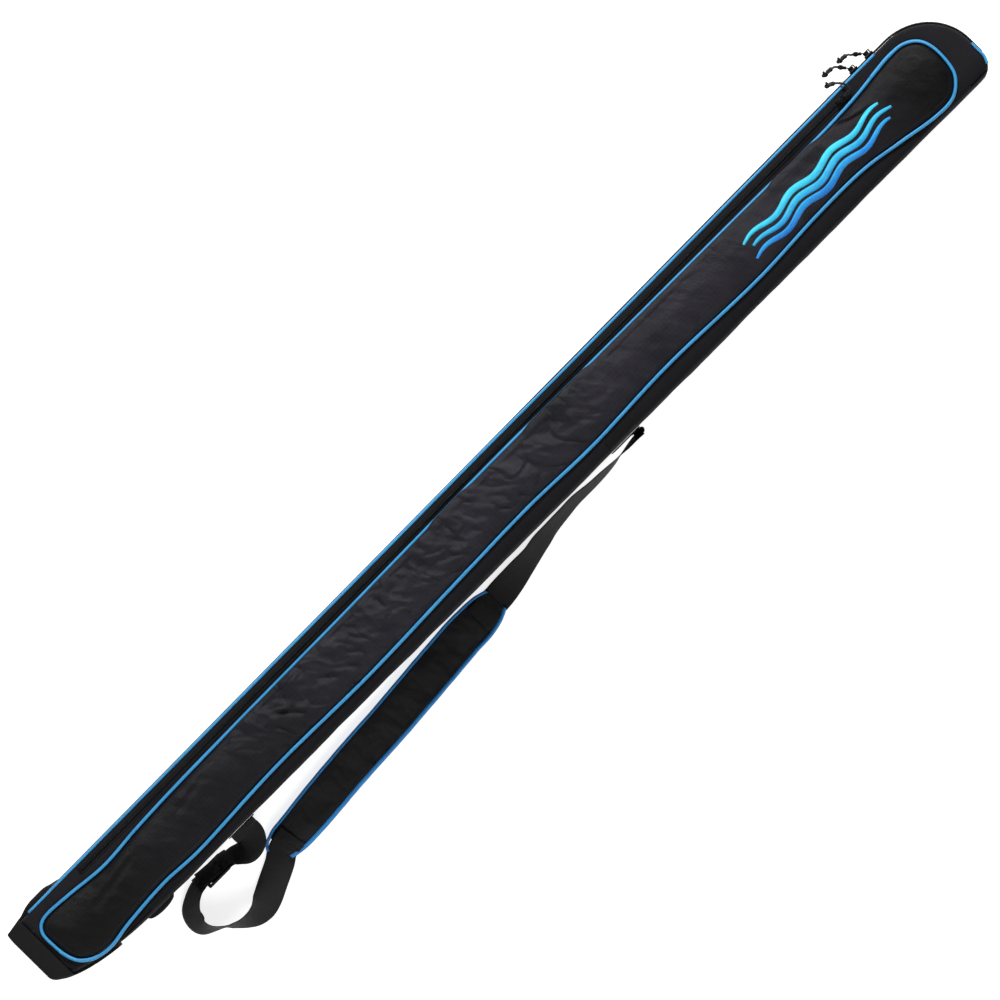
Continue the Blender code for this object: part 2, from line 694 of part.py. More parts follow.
tab.data.transform(Matrix.Translation(pivot) @ Matrix.Rotation(math.radians(-6), 4, "Y"))
finish(tab, "pocket_slider_tab", METAL, 0.35, 0.6)
set_origin(tab, pivot)
start = pivot + Vector((0.0140 + CORD_R + GAP, 0.0, 0.0020))
route = [start + Vector((0, -0.001, 0)), start + Vector((0.0010, 0.004, 0.0004))]
route += [start + Vector((0.0010, 0.0150, -0.0060)), start + Vector((-0.0020, 0.0200, -0.0200))]
route += [start + Vector((-0.0070, 0.0215, -0.0420))]
cord, knot = cord_and_knot("pocket_slider", route)
for piece in (cord, knot):
    set_origin(piece, pivot)

# ---------------------------------------------------------------- strap anchors and base tab
def flank_patch(name, x0, x1, z0, z1):
    """A webbing patch sewn flat on the strap-side wall."""
    low = right_wall((x0 + x1) / 2) - GAP - 0.0016
    patch = box(name, (x0, low, z0), (x1, low + 0.0014, z1))
    edge = patch.modifiers.new("soft", "BEVEL")
    edge.width = 0.0004
    edge.segments = 1
    return as_mesh(patch)


finish(flank_patch("patch", 0.150, 0.199, 0.020, 0.0590), "upper_strap_anchor", BLACK, 0.9)
finish(flank_patch("patch", -0.531, -0.489, 0.020, 0.0580), "lower_strap_anchor", BLACK, 0.9)

tab_run = []
for step_x, step_y in ((-0.672, 0.0), (-0.664, -0.0030), (-0.652, -0.0042), (-0.640, -0.0032),
                       (-0.631, 0.0)):
    tab_run.append((step_x, right_wall(step_x) - 0.0011 + step_y, 0.0450, 0.0))
finish(ribbon("base_tab", tab_run, 0.0100, 0.0006), "base_side_tab", BLACK, 0.9)

# ---------------------------------------------------------------- shoulder strap
UPPER = [
    (0.1970, -0.0645, 0.0385, -2), (0.1800, -0.0668, 0.0380, -3), (0.1600, -0.0685, 0.0370, -6),
    (0.1300, -0.0700, 0.0355, -14), (0.1000, -0.0695, 0.0340, -18), (0.0700, -0.0695, 0.0310, -24),
    (0.0300, -0.0718, 0.0265, -32), (0.0000, -0.0758, 0.0215, -44), (-0.0300, -0.0797, 0.0150, -60),
    (-0.0550, -0.0827, 0.0100, -75), (-0.0800, -0.0845, 0.0068, -90),
]
upper = ribbon("upper", through(UPPER, 44), WEB_HALF, WEB_T)
finish(upper, "strap_upper_webbing", BLACK, 0.85)

PAD_LINE = [
    (-0.0830, -0.0843, 0.0170), (-0.0900, -0.0852, 0.0205), (-0.1020, -0.0868, 0.0245),
    (-0.1200, -0.0880, 0.0268), (-0.1500, -0.0888, 0.0275), (-0.2070, -0.0930, 0.0278),
    (-0.2880, -0.0990, 0.0276), (-0.3610, -0.1030, 0.0272), (-0.4300, -0.1085, 0.0268),
    (-0.4650, -0.1115, 0.0255), (-0.4850, -0.1145, 0.0230), (-0.4960, -0.1165, 0.0190),
]
PAD_Z = 0.0064
PAD_HALF = 0.0056
BIND_IN = 0.0046
BIND_OUT = 0.0058


def pad_frames():
    frames = []
    line = through(PAD_LINE, 16)
    for i, station in enumerate(line):
        before = line[max(i - 1, 0)]
        after = line[min(i + 1, len(line) - 1)]
        along = Vector((after.x - before.x, after.y - before.y, 0)).normalized()
        inward = Vector((along.y, -along.x, 0))
        frames.append((Vector((station.x, station.y, PAD_Z)), inward, station.z))
    return frames


frames = pad_frames()
rings = []
for centre, inward, half in frames:
    a = half - BIND_IN - GAP
    b = -(half - BIND_OUT - GAP)
    mid = (a + b) / 2
    reach = (a - b) / 2
    ring = []
    for u, v in ((1, -0.2), (0.96, 0.7), (0.55, 1.0), (-0.55, 1.0), (-0.96, 0.7), (-1, -0.2),
                 (-0.93, -1.0), (0.93, -1.0)):
        ring.append(centre + inward * (mid + reach * u) + Vector((0, 0, PAD_HALF * v)))
    rings.append(ring)
pad = loft("pad", rings)
finish(pad, "shoulder_pad", BLACK, 0.9)


def binding(name, side, width):
    """Bound edge of the pad: a soft-cornered strip that wraps its rim."""
    rings = []
    for centre, inward, half in frames:
        middle = centre + inward * side * (half - width / 2)
        ring = []
        for u, v in ((1, -0.5), (1, 0.4), (0.45, 1.0), (-0.45, 1.0), (-1, 0.5), (-1, -0.6),
                     (-0.5, -1.0), (0.5, -1.0)):
            ring.append(middle + inward * (side * u * width / 2) + Vector((0, 0, 0.0056 * v)))
        rings.append(ring)
    return loft(name, rings)


finish(binding("bind", 1, BIND_IN), "pad_binding_inner", DEEP_BLUE, 0.6)
finish(binding("bind", -1, BIND_OUT), "pad_binding_outer", DEEP_BLUE, 0.6)

LOWER = [
    (-0.4990, -0.1172, 0.0064, -90), (-0.5090, -0.1205, 0.0058, -90), (-0.5260, -0.1315, 0.0036, -90),
    (-0.5490, -0.1435, 0.0034, -89), (-0.5750, -0.1490, 0.0048, -86), (-0.5970, -0.1440, 0.0110, -62),
    (-0.6130, -0.1335, 0.0195, -16), (-0.6250, -0.1225, 0.0200, -14), (-0.6340, -0.1110, 0.0190, -35),
    (-0.6365, -0.0990, 0.0195, -42), (-0.6310, -0.0880, 0.0205, -38), (-0.6190, -0.0805, 0.0225, -32),
    (-0.6070, -0.0757, 0.0240, -30), (-0.5965, -0.0745, 0.0245, -30),
]
lower = ribbon("lower", through(LOWER, 40), WEB_HALF, WEB_T)
finish(lower, "strap_lower_webbing", BLACK, 0.85)

# Adjuster: a three-bar buckle that stands on edge beside the case
slot_y = 0.0195
frame_loop = [(-0.0170, -0.0225), (0.0170, -0.0225), (0.0185, -0.0205), (0.0185, 0.0205)]
frame_loop += [(0.0170, 0.0225), (-0.0170, 0.0225), (-0.0185, 0.0205), (-0.0185, -0.0205)]
slot_a = [(-0.0145, -slot_y), (-0.0025, -slot_y), (-0.0025, slot_y), (-0.0145, slot_y)]
slot_b = [(0.0025, -slot_y), (0.0145, -slot_y), (0.0145, slot_y), (0.0025, slot_y)]
buckle = flat_plate("buckle", [frame_loop, slot_a, slot_b], 0.0014)
BUCKLE_AT = Vector((-0.5745, -0.0735, 0.0245))
lean = math.radians(30)
across = Vector((0, -math.sin(lean), math.cos(lean)))
facing = Vector((1, 0, 0)).cross(across)
pose = Matrix.Identity(4)
pose.col[0] = (1, 0, 0, 0)
pose.col[1] = (*across, 0)
pose.col[2] = (*facing, 0)
pose.col[3] = (*BUCKLE_AT, 1)
buckle.data.transform(pose)
finish(buckle, "strap_adjuster", (0.010, 0.010, 0.011), 0.4)

ANCHOR = [
    (-0.5095, -0.0632, 0.0480, 90), (-0.5100, -0.0720, 0.0400, 90), (-0.5150, -0.0805, 0.0340, 84),
    (-0.5260, -0.0840, 0.0300, 66), (-0.5360, -0.0805, 0.0275, 46), (-0.5440, -0.0768, 0.0258, 36),
    (-0.5530, -0.0752, 0.0250, 31),
]
anchor = ribbon("anchor", through(ANCHOR, 22), WEB_HALF, WEB_T)
finish(anchor, "strap_anchor_webbing", BLACK, 0.85)

for name in ("strap_upper_webbing", "shoulder_pad", "pad_binding_inner", "pad_binding_outer",
             "strap_lower_webbing", "strap_adjuster", "strap_anchor_webbing"):
    set_origin(bpy.data.objects[name], (0, STRAP_Y, STRAP_Z))
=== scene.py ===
import math

import bmesh
import bpy
import numpy as np
from mathutils import Matrix, Vector, noise
from mathutils.bvhtree import BVHTree


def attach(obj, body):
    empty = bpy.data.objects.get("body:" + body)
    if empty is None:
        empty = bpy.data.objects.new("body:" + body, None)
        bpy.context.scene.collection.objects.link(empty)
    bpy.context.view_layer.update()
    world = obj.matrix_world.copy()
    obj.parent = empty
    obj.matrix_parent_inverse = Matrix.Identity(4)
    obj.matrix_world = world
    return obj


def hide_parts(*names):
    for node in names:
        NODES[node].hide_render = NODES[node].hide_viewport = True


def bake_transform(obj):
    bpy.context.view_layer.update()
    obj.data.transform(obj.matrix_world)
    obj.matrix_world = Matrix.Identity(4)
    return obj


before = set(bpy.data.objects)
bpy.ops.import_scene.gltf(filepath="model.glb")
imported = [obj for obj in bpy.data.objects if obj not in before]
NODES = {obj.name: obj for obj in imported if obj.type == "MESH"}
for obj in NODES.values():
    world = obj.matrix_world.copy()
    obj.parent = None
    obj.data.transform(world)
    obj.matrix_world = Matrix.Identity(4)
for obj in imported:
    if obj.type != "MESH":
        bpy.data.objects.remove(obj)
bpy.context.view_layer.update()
SCENE = bpy.context.scene

# ---------------------------------------------------------------- sizes shared with the CAD model
X_BASE = -0.806
X_TOP = 0.831
DEPTH = 0.088
WALL = 0.0025
GAP = 0.0003
ZIP_Z = 0.0790
ZIP_HALF_GAP = 0.0012
FRONT_START = -0.785
HINGE_Y0 = -0.0532
HINGE_SLOPE = -0.00275
LEFT_Y0 = 0.0569
LEFT_SLOPE = 0.00273
RIGHT_Y0 = -0.0585
RIGHT_SLOPE = -0.0025
PIPE_R = 0.0022
EDGE_PIPE_R = 0.0018
PANEL_RISE = 0.0123
WEB_HALF = 0.0190
WEB_T = 0.0007
CORD_R = 0.0015
TOP_R = 0.022
CORNER_X = 0.0760
CORNER_Y0 = -0.0120
POCKET_Y = 0.0470
CAP_T = 0.0042
UP = Vector((0, 0, 1))
ZIP_START = -0.735
ZIP_END_Y = -0.034
LOOP = 900
BOX_STITCH = (0.0030, 0.0023, 0.00030)
PAD_SWELL = 0.0040
CAMERA_AT = (0.0097, -0.0009, 10.507)
PHOTO_TURN = math.radians(45.3)


# ---------------------------------------------------------------- camera, floor and light
def make_camera():
    data = bpy.data.cameras.new("camera")
    data.lens = 300.0
    data.sensor_width = 36.0
    data.clip_end = 60.0
    camera = bpy.data.objects.new("camera", data)
    SCENE.collection.objects.link(camera)
    camera.location = CAMERA_AT
    camera.rotation_euler = (0.0, 0.0, -PHOTO_TURN)
    SCENE.camera = camera


def area_light(name, place, size, power):
    data = bpy.data.lights.new(name, "AREA")
    data.shape = "DISK"
    data.size = size
    data.energy = power
    light = bpy.data.objects.new(name, data)
    SCENE.collection.objects.link(light)
    light.location = place
    light.rotation_euler = (-Vector(place)).to_track_quat("-Z", "Y").to_euler()
    light.visible_camera = False


make_camera()
area_light("key", (2.7, 3.0, 3.0), 1.1, 290.0)
area_light("fill", (-1.8, -2.6, 3.0), 1.8, 70.0)
area_light("rim", (-2.8, 1.2, 1.8), 1.6, 18.0)
world = bpy.data.worlds.new("studio")
world.use_nodes = True
world.node_tree.nodes["Background"].inputs["Color"].default_value = (1.0, 1.0, 1.0, 1.0)
world.node_tree.nodes["Background"].inputs["Strength"].default_value = 0.20
SCENE.world = world
SCENE.view_settings.view_transform = "Standard"


# ---------------------------------------------------------------- materials
class Paint:
    """Builds one procedural material node by node."""

    def __init__(self, name):
        self.mat = bpy.data.materials.new(name)
        self.mat.use_nodes = True
        self.tree = self.mat.node_tree
        self.shader = self.tree.nodes["Principled BSDF"]
        coords = self.tree.nodes.new("ShaderNodeTexCoord").outputs
        self.space, self.uv = coords["Object"], coords["UV"]

    def add(self, kind, values=None, **settings):
        node = self.tree.nodes.new(kind)
        for key, value in settings.items():
            setattr(node, key, value)
        self.feed(node, values or {})
        return node

    def feed(self, node, values):
        for key, value in values.items():
            socket = node.inputs[key]
            if isinstance(value, bpy.types.NodeSocket):
                self.tree.links.new(value, socket)
            else:
                socket.default_value = value

    def math(self, operation, a, b=0.0, c=0.0):
        node = self.add("ShaderNodeMath", operation=operation)
        self.feed(node, dict(zip(range(len(node.inputs)), (a, b, c))))
        return node.outputs[0]

    def times(self, a, b):
        return self.math("MULTIPLY", a, b)

    def blend_in(self, value, factor, base):
        """value * factor + base"""
        return self.math("MULTIPLY_ADD", value, factor, base)

    def scaled(self, vector, scale):
        node = self.add("ShaderNodeMapping", {"Vector": vector, "Scale": scale})
        return node.outputs[0]

    def noise(self, vector, scale, detail=2.0, roughness=0.5):
        values = {"Vector": vector, "Scale": scale, "Detail": detail, "Roughness": roughness}
        return self.add("ShaderNodeTexNoise", values).outputs["Fac"]

    def ramp(self, factor, stops):
        node = self.add("ShaderNodeValToRGB", {"Fac": factor})
        band = node.color_ramp
        while len(band.elements) < len(stops):
            band.elements.new(0.5)
        for element, (place, colour) in zip(band.elements, stops):
            element.position = place
            element.color = (*colour, 1.0)
        return node.outputs["Color"]

    def grey(self, factor, low, high, start=0.0, end=1.0):
        node = self.add("ShaderNodeMapRange", {"Value": factor})
        self.feed(node, {1: start, 2: end, 3: low, 4: high})
        return node.outputs[0]

    def mix(self, factor, a, b):
        node = self.add("ShaderNodeMix", data_type="RGBA")
        self.feed(node, {0: factor})
        for index, value in ((6, a), (7, b)):
            linked = isinstance(value, bpy.types.NodeSocket)
            self.feed(node, {index: value if linked else (*value, 1.0)})
        return node.outputs[2]

    def bump(self, height, distance, strength=1.0, under=None):
        values = {"Height": height, "Distance": distance, "Strength": strength}
        if under is not None:
            values["Normal"] = under
        return self.add("ShaderNodeBump", values).outputs[0]

    def split(self, vector):
        node = self.add("ShaderNodeSeparateXYZ", {"Vector": vector})
        return node.outputs[0], node.outputs[1], node.outputs[2]

    def weave(self, u, v, pitch_u, pitch_v):
        """Height of a plain weave: threads over and under each other."""
        a = self.math("DIVIDE", u, pitch_u)
        b = self.math("DIVIDE", v, pitch_v)
        sin_a = self.math("ABSOLUTE", self.math("SINE", self.times(a, math.pi)))
        sin_b = self.math("ABSOLUTE", self.math("SINE", self.times(b, math.pi)))
        cells = self.math("ADD", self.math("FLOOR", a), self.math("FLOOR", b))
        odd = self.math("FLOORED_MODULO", cells, 2.0)
        warp = self.times(self.math("POWER", sin_a, 0.6),
                         self.blend_in(sin_b, 0.5, 0.5))
        weft = self.times(self.math("POWER", sin_b, 0.6),
                         self.blend_in(sin_a, 0.5, 0.5))
        swing = self.math("SUBTRACT", warp, weft)
        return self.blend_in(odd, swing, weft)

    def ribs(self, value, pitch):
        """Rounded ribs of a given pitch along one coordinate."""
        turned = self.times(value, math.pi / pitch)
        return self.math("POWER", self.math("ABSOLUTE", self.math("SINE", turned)), 0.7)

    def done(self, colour, roughness, normal=None, **sockets):
        values = {"Base Color": colour, "Roughness": roughness}
        if normal is not None:
            values["Normal"] = normal
        values.update({key.replace("_", " "): value for key, value in sockets.items()})
        self.feed(self.shader, values)
        return self.mat


def fabric(name, dark, light, pitch, rough, sheen, flat=False):
    """Coarse plain-weave polyester. Flat cloth takes its weave from X and Y."""
    p = Paint(name)
    u, v, w = p.split(p.space if flat else p.uv)
    threads = p.weave(u, v, pitch, pitch * 1.15)
    slub = p.noise(p.scaled(p.space, (90, 900, 900)), 1.0, 2.0)
    cloud = p.noise(p.space, 14.0, 4.0, 0.6)
    tone = p.blend_in(cloud, 0.6, p.times(slub, 0.4))
    tone = p.times(tone, p.grey(threads, 0.75, 1.1))
    colour = p.ramp(tone, [(0.25, dark), (0.75, light)])
    if name == "shell_fabric":  # darker along the strap side
        x, y, z = p.split(p.space)
        # painted shade: the shell is darkened along the strap side, where the panel's dome shades
        # it
        colour = p.mix(p.grey(y, 0.62, 0.0, -0.056, -0.030), colour, (0.0012, 0.0011, 0.0014))
    height = p.blend_in(slub, 0.25, threads)
    normal = p.bump(height, 0.00022, 0.8)
    normal = p.bump(cloud, 0.0012, 0.35, normal)
    return p.done(colour, p.grey(cloud, rough - 0.06, rough + 0.06), normal,
                  Sheen_Weight=sheen, Sheen_Roughness=0.45,
                  Sheen_Tint=(0.75, 0.78, 0.85, 1.0), Specular_IOR_Level=0.12)


def ripstop(name):
    """Satin-faced ripstop of the pocket panel: fine weave with a raised square grid; its colour
    holds painted sheen, lighter over the rumpled middle and along the crumples.
    """
    p = Paint(name)
    x, y, z = p.split(p.space)
    threads = p.weave(x, y, 0.00042, 0.00046)
    cell = 0.0052
    line_x = p.math("PINGPONG", x, cell / 2)
    line_y = p.math("PINGPONG", y, cell / 2)
    grid = p.grey(p.math("MINIMUM", line_x, line_y), 1.0, 0.0, 0.00015, 0.00045)
    cloud = p.noise(p.space, 9.0, 5.0, 0.6)
    slant = p.add("ShaderNodeVectorRotate", {"Vector": p.space, "Angle": 0.96}).outputs[0]
    # Crumple noise turned along the creases: it bumps the cloth, and in the colour it is painted
    # sheen along the crumples
    crumple_and_sheen = p.noise(p.scaled(slant, (16, 62, 20)), 1.0, 4.0, 0.6)
    # Painted sheen: the rumpled middle of the panel is painted lighter and its smooth ends nearly
    # black, with the grid showing most in the middle
    along = p.times(p.grey(x, 0.0, 1.0, -0.68, -0.16), p.grey(x, 1.0, 0.0, 0.56, 0.74))
    tone = p.blend_in(crumple_and_sheen, 0.35, p.times(cloud, 0.65))
    colour = p.ramp(tone, [(0.34, (0.0062, 0.0056, 0.0082)), (0.66, (0.0200, 0.0182, 0.0258))])
    base = p.mix(along, (0.0009, 0.0008, 0.0011), colour)
    shown = p.times(grid, p.blend_in(along, 0.12, 0.03))
    colour = p.mix(shown, base, (0.036, 0.033, 0.046))
    height = p.blend_in(grid, 0.8, threads)
    normal = p.bump(height, 0.00014, 0.7)
    normal = p.bump(crumple_and_sheen, 0.0026, 0.45, normal)
    return p.done(colour, p.grey(crumple_and_sheen, 0.32, 0.40), normal, Specular_IOR_Level=0.16)


def blue_cloth(name, dark, light, pitch, rough):
    """Blue satin tape wrapped round a cord or an edge: fine slanting ribs, some soiling."""
    p = Paint(name)
    u, v, w = p.split(p.uv)
    slant = p.blend_in(u, 0.6, v)
    rib = p.ribs(slant, pitch)
    cloud = p.noise(p.space, 30.0, 4.0, 0.6)
    grain = p.noise(p.space, 700.0, 2.0)
    tone = p.blend_in(cloud, 0.5, p.blend_in(rib, 0.35, 0.1))
    colour = p.ramp(tone, [(0.2, dark), (0.7, light)])
    height = p.blend_in(grain, 0.3, rib)
    normal = p.bump(height, 0.00016, 0.8)
    normal = p.bump(cloud, 0.0005, 0.4, normal)
    return p.done(colour, p.grey(cloud, rough - 0.05, rough + 0.08), normal,
                  Sheen_Weight=0.08, Sheen_Roughness=0.4,
                  Sheen_Tint=(0.6, 0.85, 1.0, 1.0), Specular_IOR_Level=0.5)


def woven_strap(name, dark, light, rib_pitch):
    """Ribbed webbing: lengthwise ribs, crossed by tight weft."""
    p = Paint(name)
    u, v, w = p.split(p.uv)
    ribs = p.ribs(u, rib_pitch)
    zig = p.math("PINGPONG", u, rib_pitch)
    picks = p.ribs(p.blend_in(zig, 0.8, v), 0.0009)
    height = p.blend_in(picks, 0.55, ribs)
    cloud = p.noise(p.space, 22.0, 4.0, 0.6)
    fuzz = p.noise(p.space, 900.0, 2.0)
    tone = p.blend_in(height, 0.35, p.times(cloud, 0.45))
    colour = p.ramp(tone, [(0.2, dark), (0.75, light)])
    normal = p.bump(p.blend_in(fuzz, 0.25, height), 0.00028, 0.8)
    return p.done(colour, p.grey(cloud, 0.66, 0.80), normal, Sheen_Weight=0.06,
                  Sheen_Roughness=0.4, Sheen_Tint=(0.8, 0.82, 0.88, 1.0),
                  Specular_IOR_Level=0.14)


def twisted(name, dark, light, pitch, girth, rough=0.7):
    """Braided cord: two crossing sets of strands."""
    p = Paint(name)
    u, v, w = p.split(p.uv)
    lean = p.times(u, pitch * 2 / girth)
    one = p.ribs(p.math("ADD", v, lean), pitch)
    two = p.ribs(p.math("SUBTRACT", v, lean), pitch)
    height = p.times(one, two)
    fuzz = p.noise(p.space, 1200.0, 2.0)
    colour = p.ramp(p.blend_in(fuzz, 0.3, height), [(0.1, dark), (1.0, light)])
    normal = p.bump(p.blend_in(fuzz, 0.3, height), 0.0003, 0.9)
    return p.done(colour, rough, normal, Sheen_Weight=0.06, Sheen_Roughness=0.4,
                  Specular_IOR_Level=0.2)


def moulded(name, dark, light, grain, depth, rough, metallic=0.0):
    """Moulded or cast surface: fine grain, worn lighter in patches."""
    p = Paint(name)
    cells = p.add("ShaderNodeTexVoronoi", {"Vector": p.space, "Scale": grain}).outputs[0]
    cloud = p.noise(p.space, 18.0, 5.0, 0.65)
    fine = p.noise(p.space, grain * 0.7, 3.0)
    colour = p.ramp(p.blend_in(fine, 0.3, p.times(cloud, 0.7)),
                    [(0.3, dark), (0.75, light)])
    normal = p.bump(p.blend_in(fine, 0.5, cells), depth, 0.6)
    return p.done(colour, p.grey(cloud, rough - 0.08, rough + 0.1), normal,
                  Metallic=metallic, Specular_IOR_Level=0.16)


MATERIALS = {
    "shell": fabric("shell_fabric", (0.0062, 0.0060, 0.0074), (0.0150, 0.0144, 0.0180),
                    0.00068, 0.80, 0.06),
    "panel": ripstop("panel_ripstop"),
    "lining": fabric("lining_taffeta", (0.020, 0.021, 0.024), (0.040, 0.041, 0.046),
                     0.00040, 0.62, 0.08, flat=True),
    "piping": blue_cloth("piping_satin", (0.004, 0.125, 0.340), (0.034, 0.300, 0.600),
                         0.0011, 0.34),
    "binding": blue_cloth("binding_tape", (0.003, 0.105, 0.330), (0.014, 0.220, 0.560),
                          0.0013, 0.48),
    "webbing": woven_strap("strap_webbing", (0.0068, 0.0068, 0.0071), (0.0215, 0.0214, 0.0222),
                           0.0019),
    "tape": woven_strap("zip_tape", (0.0035, 0.0035, 0.0040), (0.0100, 0.0100, 0.0110),
                        0.0007),
    "coil": moulded("zip_nylon", (0.0030, 0.0030, 0.0034), (0.0080, 0.0080, 0.0088),
                    2600.0, 0.00006, 0.32),
    "enamel": moulded("slider_enamel", (0.0040, 0.0040, 0.0044), (0.0160, 0.0160, 0.0170),
                      1800.0, 0.00008, 0.34, 0.35),
    "cord": twisted("pull_cord", (0.0030, 0.0030, 0.0034), (0.0120, 0.0120, 0.0130),
                    0.0016, 2 * math.pi * CORD_R),
    "cap": moulded("moulded_cap", (0.0035, 0.0035, 0.0038), (0.0085, 0.0084, 0.0088),
                   900.0, 0.00030, 0.66),
    "buckle": moulded("buckle_plastic", (0.0035, 0.0035, 0.0040), (0.0100, 0.0100, 0.0108),
                      1500.0, 0.00008, 0.38),
    "stitch": twisted("black_thread", (0.0060, 0.0060, 0.0068), (0.0200, 0.0200, 0.0220),
                      0.0005, 0.0018, 0.55),
    "mesh": fabric("pad_mesh", (0.0125, 0.0121, 0.0131), (0.0305, 0.0296, 0.0318),
                   0.00105, 0.84, 0.06, flat=True),
}


def floor_material():
    p = Paint("pale_floor")
    cloud = p.noise(p.space, 1.5, 3.0)
    colour = p.ramp(cloud, [(0.3, (0.60, 0.60, 0.60)), (0.7, (0.64, 0.64, 0.64))])
    return p.done(colour, 0.85, Emission_Color=(1.0, 1.0, 1.0, 1.0), Emission_Strength=0.80)


def embroidery_material():
    """Satin stitch that runs from cyan to blue across the motif."""
    p = Paint("wave_embroidery")
    u, v, w = p.split(p.uv)
    x, y, z = p.split(p.space)
    strands = p.ribs(v, 0.00045)
    cloud = p.noise(p.space, 140.0, 3.0)
    fade = p.grey(y, 0.0, 1.0, -0.022, 0.016)
    tone = p.blend_in(cloud, 0.25, p.blend_in(fade, 0.8, -0.05))
    colour = p.ramp(tone, [(0.05, (0.006, 0.190, 0.740)), (0.85, (0.050, 0.680, 0.860))])
    normal = p.bump(strands, 0.00020, 0.9)
    return p.done(colour, 0.34, normal, Sheen_Weight=0.05, Specular_IOR_Level=0.4)


MATERIALS["embroidery"] = embroidery_material()
# A darker copy of the strap webbing: the front patch's dark tone, and painted shade on the anchor
# turn and the flank patches, whose edges the key light would catch
MATERIALS["patch"] = woven_strap("patch_and_shade_webbing", (0.0012, 0.0011, 0.0012),
                                 (0.0042, 0.0040, 0.0042), 0.0019)


# ---------------------------------------------------------------- mesh helpers
def dress(obj, *names):
    obj.data.materials.clear()
    for name in names:
        obj.data.materials.append(MATERIALS[name])


def mesh_object(name, verts, faces, uvs, material):
    mesh = bpy.data.meshes.new(name)
    mesh.from_pydata([tuple(v) for v in verts], [], faces)
    layer = mesh.uv_layers.new(name="metres")
    layer.data.foreach_set("uv", np.asarray(uvs, np.float32).ravel())
    mesh.polygons.foreach_set("use_smooth", [True] * len(mesh.polygons))
    obj = bpy.data.objects.new(name, mesh)
    SCENE.collection.objects.link(obj)
    dress(obj, *([material] if isinstance(material, str) else material))
    return obj


def skin(name, rows, material, wrap=True, close=True, ends=False):
    """Quads between equal rows of points, with a UV map in metres."""
    grid = np.array([[tuple(p) for p in row] for row in rows], float)
    count, size = grid.shape[:2]
    shut = np.concatenate([grid, grid[:, :1]], axis=1) if wrap else grid
    steps = np.linalg.norm(np.diff(shut, axis=1), axis=2)
    girth = np.concatenate([np.zeros((count, 1)), np.cumsum(steps, axis=1)], axis=1)
    u = girth[np.argmax(girth[:, -1])]
    along = np.linalg.norm(np.diff(shut, axis=0), axis=2).mean(axis=1)
    v = np.concatenate([[0.0], np.cumsum(along)])
    faces, uvs = [], []
    for i in range(count - 1):
        for j in range(size if wrap else size - 1):
            k = (j + 1) % size
            faces.append((i * size + j, i * size + k, (i + 1) * size + k, (i + 1) * size + j))
            uvs += [(u[j], v[i]), (u[j + 1], v[i]), (u[j + 1], v[i + 1]), (u[j], v[i + 1])]
    if ends:
        for row, turn in ((0, -1), (count - 1, 1)):
            faces.append([row * size + j for j in range(size)][::turn])
            uvs += [(grid[row, j, 0], grid[row, j, 1]) for j in range(size)][::turn]
    obj = mesh_object(name, grid.reshape(-1, 3), faces, uvs, material)
    if close:
        outward(obj)
    return obj


def outward(obj, merge=False):
    """Turn every face outward, after joining doubled points where asked."""
    build = bmesh.new()
    build.from_mesh(obj.data)
    if merge:
        bmesh.ops.remove_doubles(build, verts=build.verts, dist=1e-6)
    bmesh.ops.recalc_face_normals(build, faces=build.faces)
    build.to_mesh(obj.data)
    build.free()


def face_up(obj):
    """Turn an open sheet over if it faces down."""
    if sum(p.normal.z for p in obj.data.polygons) < 0:
        obj.data.flip_normals()


def thicken(obj, name, thickness):
    """Give a sheet its thickness, inward from the surface it has."""
    cloth = obj.modifiers.new(name, "SOLIDIFY")
    cloth.thickness = thickness
    cloth.offset = -1.0
    return cloth


def refine(obj, kind="CATMULL_CLARK"):
    finer = obj.modifiers.new("finer", "SUBSURF")
    finer.subdivision_type = kind
    finer.levels = 1
    finer.render_levels = 1
    apply_all(obj)


def tree_of(obj):
    return BVHTree.FromPolygons([v.co for v in obj.data.vertices],
                                [p.vertices for p in obj.data.polygons])


def drop(tree, x, y):
    """Where a ray straight down from above the case first hits: place, normal and more."""
    return tree.ray_cast(Vector((x, y, 0.2)), -UP)


def fit(piece, body, slot=None, *nodes):
    """Hang a piece on its body and say which CAD nodes it stands for; its slot is not used."""
    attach(piece, body)
    if nodes:
        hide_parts(*nodes)
    return piece


def around(count):
    """Angles of even steps once round."""
    return [2 * math.pi * k / count for k in range(count)]


def oval(count, power_x, power_y):
    """Points round a squared-off circle: the smaller a power, the squarer."""
    points = []
    for angle in around(count):
        x, y = math.cos(angle), math.sin(angle)
        points.append((math.copysign(abs(x) ** power_x, x), math.copysign(abs(y) ** power_y, y)))
    return points


def crossed_box(a, b, c, d, steps):
    """Points round a box and along both its diagonals."""
    corners = [(a, c), (b, c), (b, d), (a, d), (a, c), (b, d), (b, c), (a, d)]
    points = []
    for (ua, va), (ub, vb) in zip(corners, corners[1:]):
        for k in range(steps):
            points.append((ua + (ub - ua) * k / steps, va + (vb - va) * k / steps))
    return points


def heading(points, i, cyclic=False):
    """Direction of a run of points at one of them."""
    after = (i + 1) % len(points) if cyclic else min(i + 1, len(points) - 1)
    before = i - 1 if cyclic else max(i - 1, 0)
    return (Vector(points[after][:3]) - Vector(points[before][:3])).normalized()


def lengths(points):
    """Running length along a polyline."""
    reach = [0.0]
    for here, there in zip(points, points[1:]):
        reach.append(reach[-1] + (there - here).length)
    return reach


def even_run(points, pitch):
    """Even steps along a polyline: place, direction, span and how far along the span."""
    reach = lengths(points)
    steps = []
    index = 0
    for n in range(int(reach[-1] / pitch)):
        goal = (n + 0.5) * pitch
        while reach[index + 1] < goal:
            index += 1
        part = (goal - reach[index]) / (reach[index + 1] - reach[index])
        here, there = points[index], points[index + 1]
        steps.append((here.lerp(there, part), (there - here).normalized(), index, part))
    return steps


